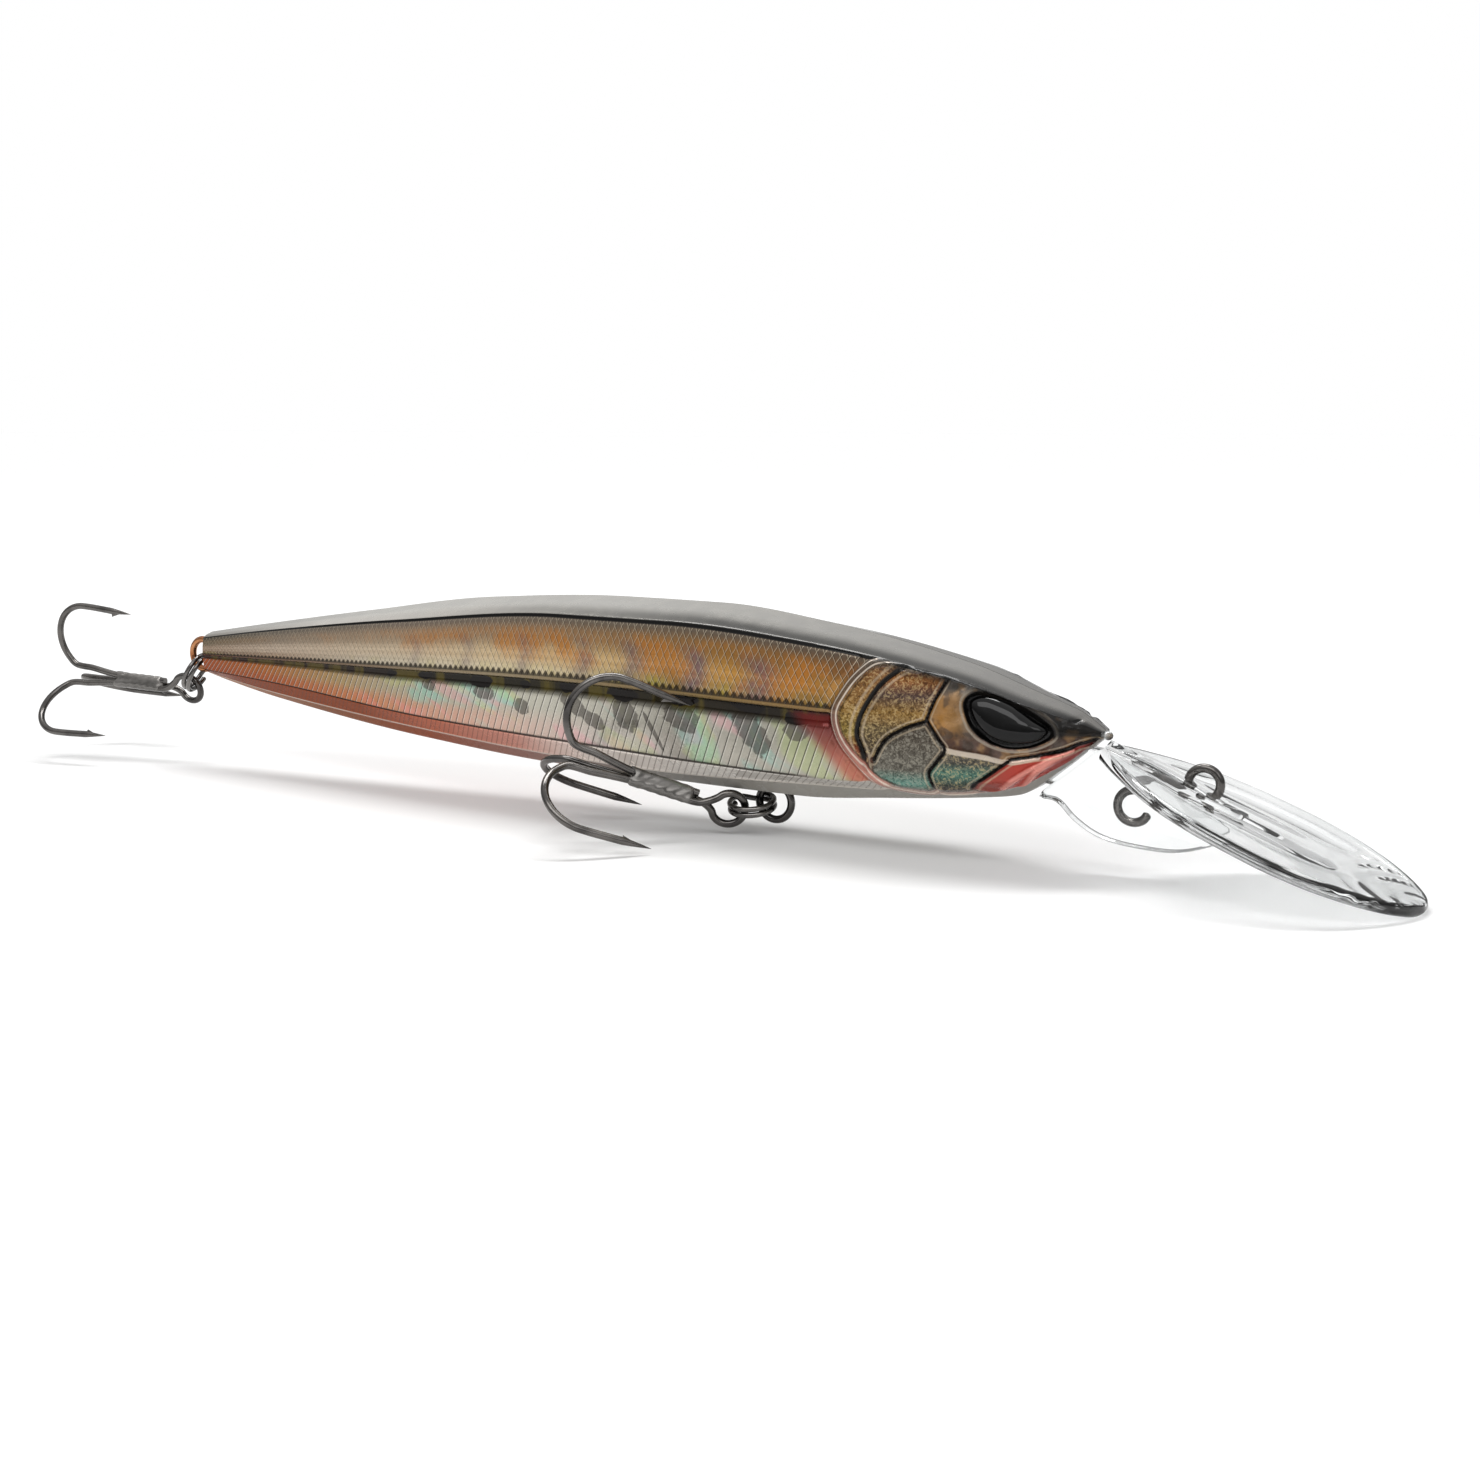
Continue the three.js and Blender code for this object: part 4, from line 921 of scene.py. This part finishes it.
def braze_sleeve():
    """Lump of braze round the three shanks, with a ragged end towards the bends."""
    around = 2 * np.pi * np.arange(36) / 36
    rings = []
    for x in np.linspace(BRAZE_START, BRAZE_END, 48):
        ends_in = min(1.0, (x - BRAZE_START) / 0.9 + 0.45, (BRAZE_END - x) / 0.35 + 0.75)
        lobes = 0.94 + 0.13 * np.cos(3 * around)
        blobs = 0.05 * np.sin(5 * around + 3.1 * x) * np.sin(2.3 * x) + 0.10 * bump(x - 10.6, 0.7)
        ragged = x + 0.28 * np.sin(3 * around + 1.0) * ease(9.6, BRAZE_END, x)
        radius = (lobes + blobs) * ends_in
        rings.append(np.stack([ragged, -radius * np.sin(around), radius * np.cos(around)], axis=1))
    return skin(rings)


def placed(points, origin, x, y, z):
    """Points of a local frame, given by its origin and axes, in the body frame."""
    return np.asarray(points) @ np.array([x, y, z]) + origin


def treble(prefix, place, material, braze):
    """A double hook bent round the eye and a single hook brazed to it."""
    third = 2 * math.pi / 3
    spread, low = TREBLE["spread"] * math.sin(third), -TREBLE["spread"] * 0.5
    first, second, single = (hook_curve(angle) for angle in (-third, third, 0.0))
    loop = [(x, spread * (1 - 2 * ease(0, 1, i / 12)), z)
            for i, (x, z) in enumerate(arc(0, 0, TREBLE["eye"], 28, 332, 12))]
    tips = [tip_of(first)[0], tip_of(second)[0]]
    control = [tips[0], first[::-1], (2.75, spread, low + 0.28), loop, (2.55, -spread, low - 0.12), second,
               tips[1]]
    path = spline(np.vstack(control), DOUBLE_SAMPLES)
    index = np.arange(DOUBLE_SAMPLES)
    radii = drawn_out(path, tips, (index > 60) & (index < 360))
    double = together(swept(path, radii), barb(first), barb(second))
    tip = tip_of(single)[0]
    path = spline(np.vstack([single, tip]), SINGLE_SAMPLES)
    radii = drawn_out(path, [tip], np.arange(SINGLE_SAMPLES) < SINGLE_SAMPLES * 0.6)
    hook = together(swept(path, radii), barb(single))
    for kind, (points, faces) in (("double_hook", double), ("single_hook", together(hook, braze_sleeve()))):
        obj = build(f"{prefix}_{kind}_wire", placed(points, *place), faces, f"{prefix}_treble", material,
                    f"{prefix}_treble_{kind}", "black_nickel")
        if kind == "single_hook":
            obj.data.materials.append(braze)
            for polygon in obj.data.polygons[len(hook[1]):]:
                polygon.material_index = 1


def turn(vector, axis, angle):
    """The vector turned about an axis."""
    v, k = np.asarray(vector, float), np.asarray(axis, float) / np.linalg.norm(axis)
    return v * math.cos(angle) + np.cross(k, v) * math.sin(angle) + k * (k @ v) * (1 - math.cos(angle))


def treble_place(yaw, pitch, roll):
    """Axes of a treble: along its shank away from the eye, to the side, and up."""
    yaw, pitch, roll = (math.radians(a) for a in (yaw, pitch, roll))
    level = math.cos(pitch)
    shank = np.array([-math.cos(yaw) * level, -math.sin(yaw) * level, math.sin(pitch)])
    up = np.array([0.0, 0.0, 1.0])
    up -= shank * (up @ shank)
    up = turn(up / np.linalg.norm(up), shank, roll)
    return shank, np.cross(up, shank), up


def split_ring(name, through, towards, across, crossover, material):
    """Two coils of wire; returns the centre and the way to it from the point the ring passes through."""
    x = np.asarray(towards, float) / np.linalg.norm(towards)
    normal = np.cross(x, across)
    normal /= np.linalg.norm(normal)
    centre = np.asarray(through, float) + x * RING_RADIUS
    start = turn(x, normal, math.radians(crossover))
    swept_angle = np.radians(np.linspace(30, 690, 200))
    step = ease(330, 390, np.degrees(swept_angle))
    offset = (RING_WIRE + 0.04) * (2 * step - 1)
    path = np.stack([RING_RADIUS * np.cos(swept_angle), RING_RADIUS * np.sin(swept_angle), offset], axis=1)
    points, faces = swept(path, rounded_radii(path, RING_WIRE, 0.18), 14)
    points = placed(points, centre, start, np.cross(normal, start), normal)
    build(f"{name}_wire", points, faces, name.replace("split_", ""), material, name, "ring_steel")
    return centre, x


# ---------- diving lip ----------
def lip_paddle():
    """Clear paddle with rounded edges, a middle rib, two long flutes and steps round its tip."""
    s = np.concatenate([np.linspace(0.6, 32.0, 150), np.linspace(32.1, LIP_END, 10)])
    across = np.sin(np.linspace(-math.pi / 2, math.pi / 2, 65))
    width = curve_of(LIP_OUTLINE)(s)
    half = LIP_THICK / 2
    top, bottom = [], []
    for place, w in zip(s, width):
        y = across * w
        rim = np.clip((np.abs(y) - (w - half)) / half, 0, 1)
        end = np.clip((place - (LIP_END - half)) / half, 0, 1)
        thick = half * np.sqrt(np.clip(1 - rim**2, 0.0, 1)) * math.sqrt(max(1 - end**2, 0.05))
        face = 1 - ease(0.55, 0.95, np.abs(y) / w)
        rib = 0.55 * bump(y, 1.0) * (1 - ease(7.5, 10.5, place))
        rib = rib + 0.28 * bump(np.abs(y) - 1.9, 0.5) * ease(2, 5, place) * (1 - ease(17, 23, place))
        flute = 0.34 * bump(np.abs(y) - 0.42 * w, 0.13 * w + 0.2)
        flute = flute * ease(5, 10, place) * (1 - ease(22, 27, place))
        tip = np.hypot(y, (LIP_END - place) * 0.9)
        steps = 0.03 * np.sin(tip * 3.2) * (1 - ease(7.5, 10.5, tip)) * ease(1.0, 2.0, tip)
        lift = (rib - flute + steps) * face
        top.append(np.stack([np.full_like(y, place), y, -half + thick + lift], axis=1))
        under = 0.05 * np.sin(tip * 2.6 + 1.0) * (1 - ease(6, 9, tip)) * ease(1.0, 2.0, tip) * face
        bottom.append(np.stack([np.full_like(y, place), y, -half - thick - under], axis=1))
    points, faces = skin([np.vstack([t, b[::-1][1:-1]]) for t, b in zip(top, bottom)])
    c, sn = math.cos(LIP_PITCH), math.sin(LIP_PITCH)
    x, y, z = points.T
    return np.stack([LIP_ROOT[0] + x * c + z * sn, y, LIP_ROOT[2] - x * sn + z * c], axis=1), faces


def rounded_plate(outline, thickness, count=96):
    """Plate in the XZ plane with rounded edges."""
    line = spline(outline, count, closed=True)
    tangent = np.roll(line, -1, axis=0) - np.roll(line, 1, axis=0)
    tangent /= np.linalg.norm(tangent, axis=1, keepdims=True)
    area = 0.5 * np.sum(line[:, 0] * np.roll(line[:, 1], -1) - np.roll(line[:, 0], -1) * line[:, 1])
    inward = np.stack([-tangent[:, 1], tangent[:, 0]], axis=1) * np.sign(area)
    rings = []
    for a in np.linspace(-math.pi / 2, math.pi / 2, 13):
        inset = EDGE_ROUND * (1 - math.cos(a))
        y = math.sin(a) * EDGE_ROUND + math.copysign(thickness / 2 - EDGE_ROUND, a) if abs(a) > 1e-9 else 0.0
        flat = line + inward * inset
        rings.append(np.stack([flat[:, 0], np.full(count, y), flat[:, 1]], axis=1))
    return skin(rings)


def bead(centre, radii):
    """Small moulded drop."""
    around = 2 * np.pi * np.arange(20) / 20
    ball = []
    for a in np.linspace(0.05, math.pi - 0.05, 15):
        ring = math.sin(a) * np.stack([np.cos(around), np.sin(around)])
        ball.append(np.stack([np.full(20, -math.cos(a)), *ring], axis=1))
    points, faces = skin(ball)
    return np.array(centre) + points * radii, faces


def clear_material(name, tint, rough):
    """Clear plastic with a faint haze."""
    n = Look(name)
    haze = n.noise(n.position(), 160.0, 3.0, 0.6)
    n.set(Base_Color=n.mix(n.smooth(haze, 0.35, 0.7), tint, (0.97, 0.98, 0.98)),
          Roughness=n.smooth(haze, 0.3, 0.8, 0.0, rough), Transmission_Weight=1.0, IOR=1.49)
    n.relief(haze, 0.04, 0.0002)
    return n.material


def united(parts):
    """One closed shape from overlapping closed shapes."""
    pieces = []
    for points, faces in parts:
        mesh = bpy.data.meshes.new("part")
        mesh.from_pydata(np.asarray(points).tolist(), [], facing_out(points, faces))
        pieces.append(linked("part", mesh))
    for other in pieces[1:]:
        join = pieces[0].modifiers.new("join", "BOOLEAN")
        join.operation = "UNION"
        join.solver = "EXACT"
        join.object = other
    whole = pieces[0].evaluated_get(bpy.context.evaluated_depsgraph_get()).to_mesh()
    points = [tuple(vertex.co) for vertex in whole.vertices]
    faces = [tuple(polygon.vertices) for polygon in whole.polygons]
    for piece in pieces:
        bpy.data.meshes.remove(piece.data)
    return points, faces


# ---------- plain CAD pieces that show little ----------
def inner_material(name, low, high, scale, metallic, rough, clear=0.0):
    """Mottled plain material."""
    n = Look(name)
    mottle = n.noise(n.position(), scale, 4.0, 0.6)
    n.set(Base_Color=n.mix(n.smooth(mottle, 0.35, 0.65), low, high), Metallic=metallic,
          Roughness=n.smooth(mottle, 0.3, 0.7, rough, rough + 0.15), Transmission_Weight=clear)
    n.relief(mottle, 0.15, 0.0001)
    return n.material


# ---------- build everything ----------
paint_job = body_material()
body_half(1, "left", paint_job)
body_half(-1, "right", paint_job)

dome_levels = [(0.98, -0.75), (1.0, -0.55), (0.99, -0.3), (0.965, -0.05), (0.92, 0.16), (0.85, 0.33),
               (0.75, 0.48), (0.62, 0.60), (0.46, 0.69), (0.30, 0.745), (0.14, 0.77), (0.05, 0.775)]
surround_levels = [(0.88, -1.0), (0.93, -0.98), (0.95, -0.85), (0.95, -0.62), (0.92, -0.56), (0.85, -0.55)]
dome_paint, surround_paint = eye_dome_material(), eye_foil_material()
for eye_side, eye_name in ((1, "left"), (-1, "right")):
    eye_piece(eye_side, f"{eye_name}_eye_lens", EYE_OUTLINE, dome_levels, dome_paint, f"eye_dome_{eye_name}",
              "eye_dome")
    eye_piece(eye_side, f"{eye_name}_eye_backing", SOCKET, surround_levels, surround_paint,
              f"eye_foil_{eye_name}", "eye_foil")

clear = clear_material("clear_lip", "#f1f3f3", 0.02)
lip = united([lip_paddle(), rounded_plate(KEEL, KEEL_THICK), rounded_plate(TONGUE, TONGUE_THICK),
              bead((120.25, 0.0, 13.2), (0.55, 0.5, 0.46))])
build("lip_and_keel", *lip, "lure_body", clear, "diving_lip", "clear_plastic")

nickel = wire_material("black_nickel_wire", "#454342", "#6d6a67", 0.12)
steel = wire_material("ring_steel_wire", "#4f4d4c", "#807d7a", 0.12)
silver_braze = wire_material("silver_braze", "#6a6865", "#83807d", 0.25)
# Copper tint for the tail hanger wire: a painted reflection of the copper paint at the lure's tail.
tail_copper_reflection = wire_material("tail_wire_copper_reflection", "#8c5433", "#c08a62", 0.12)

hangers = {
    "belly_hook_hanger": hanger_path(83.4, 2.9, 1.95, math.pi / 2, 5.9),
    "tail_hook_hanger": hanger_path(-0.9, 13.7, 1.92, 0.0, 7.2),
}
for hanger_name, control in hangers.items():
    line = spline(control, 170)
    # The tail hanger takes the copper tint, a painted reflection of the tail paint.
    wire_look = tail_copper_reflection if hanger_name.startswith("tail") else nickel
    build(f"{hanger_name}_wire", *swept(line, rounded_radii(line, HANGER_WIRE, 0.3)), "lure_body", wire_look,
          hanger_name, "black_nickel")
tie = [*arc(123.2, 6.6, 1.6, -20, -265, 8), (125.6, 8.5), (127.3, 8.1), *arc(129.9, 9.35, 1.55, 208, -72, 9),
       (129.6, 7.35), (128.9, 7.1)]
tie_line = spline([(x, 0.0, z) for x, z in tie], 220)
build("line_tie_wire_round", *swept(tie_line, rounded_radii(tie_line, TIE_WIRE, 0.3)), "lure_body", nickel,
      "line_tie_wire", "black_nickel")

tilt = math.radians(12)
belly_side = np.array([0.0, -math.cos(tilt), -math.sin(tilt)])


def from_forward(angle):
    """Way out from the hanger, in degrees from the tailward one towards the side."""
    a = math.radians(angle)
    return np.array([-math.cos(a), 0.0, 0.0]) + belly_side * math.sin(a)


ring_centre, _ = split_ring("belly_split_ring", (83.25, 0.0, 2.95), from_forward(35), belly_side, -80, steel)
belly_eye = ring_centre + from_forward(60) * RING_RADIUS
shank, hook_y, hook_up = treble_place(38, 20, -5)
treble("belly", (belly_eye + shank * 0.55, shank, hook_y, hook_up), nickel, silver_braze)

ring_centre, ring_way = split_ring("tail_split_ring", (-1.05, 0.0, 13.3), (-0.5, 0.0, -0.866),
                                   (-0.25, 0.97, 0.144), 90, steel)
tail_eye = ring_centre + ring_way * RING_RADIUS
shank, hook_y, hook_up = treble_place(8.5, 3, -11)
treble("tail", (tail_eye + np.array([-0.5, 0.0, -0.1]), shank, hook_y, hook_up), nickel, silver_braze)

inner_looks = {
    "flank_foil": inner_material("flank_foil_print", "#8c6a3c", "#c9b28a", 700.0, 0.8, 0.25),
    "gill_foil": inner_material("gill_foil_print", "#7d5f2c", "#b59a5c", 1800.0, 0.8, 0.25),
    "weight_tube_cap": inner_material("cap_plastic_white", "#c9c8c2", "#e4e3dd", 500.0, 0.0, 0.4),
    "weight_tube": inner_material("tube_plastic_clear", "#dfe3e3", "#f2f4f4", 200.0, 0.0, 0.03, 1.0),
    "holding_magnet": inner_material("magnet_nickel", "#8a8a8e", "#b4b4b8", 900.0, 1.0, 0.2),
    "weight_ball": inner_material("ball_alloy", "#8e8b82", "#b8b4a8", 1200.0, 1.0, 0.22),
    "belly_ballast": inner_material("ballast_cast", "#55575b", "#7d8084", 900.0, 0.9, 0.45),
}
for node_name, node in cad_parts.items():
    for start, material in inner_looks.items():
        if node_name.startswith(start):
            node.data.materials.clear()
            node.data.materials.append(material)
            break

# ---------- camera, floor and light ----------
camera_data = bpy.data.cameras.new("camera")
camera_data.lens = CAMERA_LENS
camera_data.sensor_width = 36.0
camera_data.clip_start = 0.01
camera_data.clip_end = 50.0
camera = linked("camera", camera_data)
camera.location = Vector(rows(CAMERA_PLACE))
turn_z, dip = math.radians(CAMERA_TURN), math.radians(CAMERA_DIP)
look = Vector((-math.sin(turn_z) * math.cos(dip), math.cos(turn_z) * math.cos(dip), -math.sin(dip)))
camera.rotation_euler = look.to_track_quat("-Z", "Y").to_euler()
bpy.context.scene.camera = camera

floor_mesh = bpy.data.meshes.new("floor")
corners = [(-FLOOR_REACH, -FLOOR_REACH, 0), (FLOOR_REACH, -FLOOR_REACH, 0), (FLOOR_REACH, FLOOR_REACH, 0),
           (-FLOOR_REACH, FLOOR_REACH, 0)]
floor_mesh.from_pydata(corners, [], [(0, 1, 2, 3)])
floor = linked("floor", floor_mesh)
floor_look = Look("floor_white")
# The floor glows, faintly near the lure and more further out: painted light that whitens the far floor.
apart = floor_look.add("VectorMath", (floor_look.position(),), "Value", operation="LENGTH")
floor_look.set(Base_Color=(0.86, 0.86, 0.86), Roughness=0.6, Specular_IOR_Level=0.1,
               Emission_Color=(1.0, 1.0, 1.0),
               Emission_Strength=floor_look.smooth(apart, 0.08, 0.40, 0.03, 0.6))
floor.data.materials.append(floor_look.material)

# Reflections see a dim room with bright soft boxes; everything else sees an even white one.
world = bpy.data.worlds.new("studio")
bpy.context.scene.world = world
world.use_nodes = True
world.cycles.sampling_method = "NONE"
sky = Nodes(world.node_tree)
from_camera, passing, from_gloss = (sky.add("LightPath", (), f"Is {kind} Ray")
                                    for kind in ("Camera", "Transmission", "Glossy"))
height = sky.add("SeparateXYZ", (sky.add("TexCoord", (), "Generated"),), "Z")
room = sky.add("MapRange", (height, 0.1, 0.9, ROOM_LOW, ROOM_HIGH))
even = sky.add("Mix", {0: sky.math("MAXIMUM", from_camera, passing), 2: ROOM_SOFT, 3: ROOM_WHITE})
background = world.node_tree.nodes["Background"]
sky.put(background.inputs[0], (1.0, 1.0, 1.0))
sky.put(background.inputs[1], sky.add("Mix", {0: from_gloss, 2: even, 3: room}))


def softbox(name, place, aim, size, power):
    """Rectangular lamp turned towards a point, with places in row-frame metres."""
    data = bpy.data.lights.new(name, "AREA")
    data.shape = "RECTANGLE"
    data.size, data.size_y = size
    data.energy = power
    lamp = linked(name, data)
    lamp.location = Vector(place)
    lamp.rotation_euler = (Vector(aim) - Vector(place)).to_track_quat("-Z", "Y").to_euler()


softbox("back_light", (-0.06, 0.09, 0.34), (0.0, 0.0, 0.0), (0.30, 0.08), 0.98)
softbox("front_light", (0.05, -0.30, 0.38), (0.0, 0.0, 0.0), (0.40, 0.20), 0.78)
softbox("side_light", (0.45, -0.35, 0.35), (0.02, 0.0, 0.01), (0.25, 0.25), 0.4)

bpy.context.scene.view_settings.view_transform = "Standard"
bpy.context.scene.view_settings.look = "None"
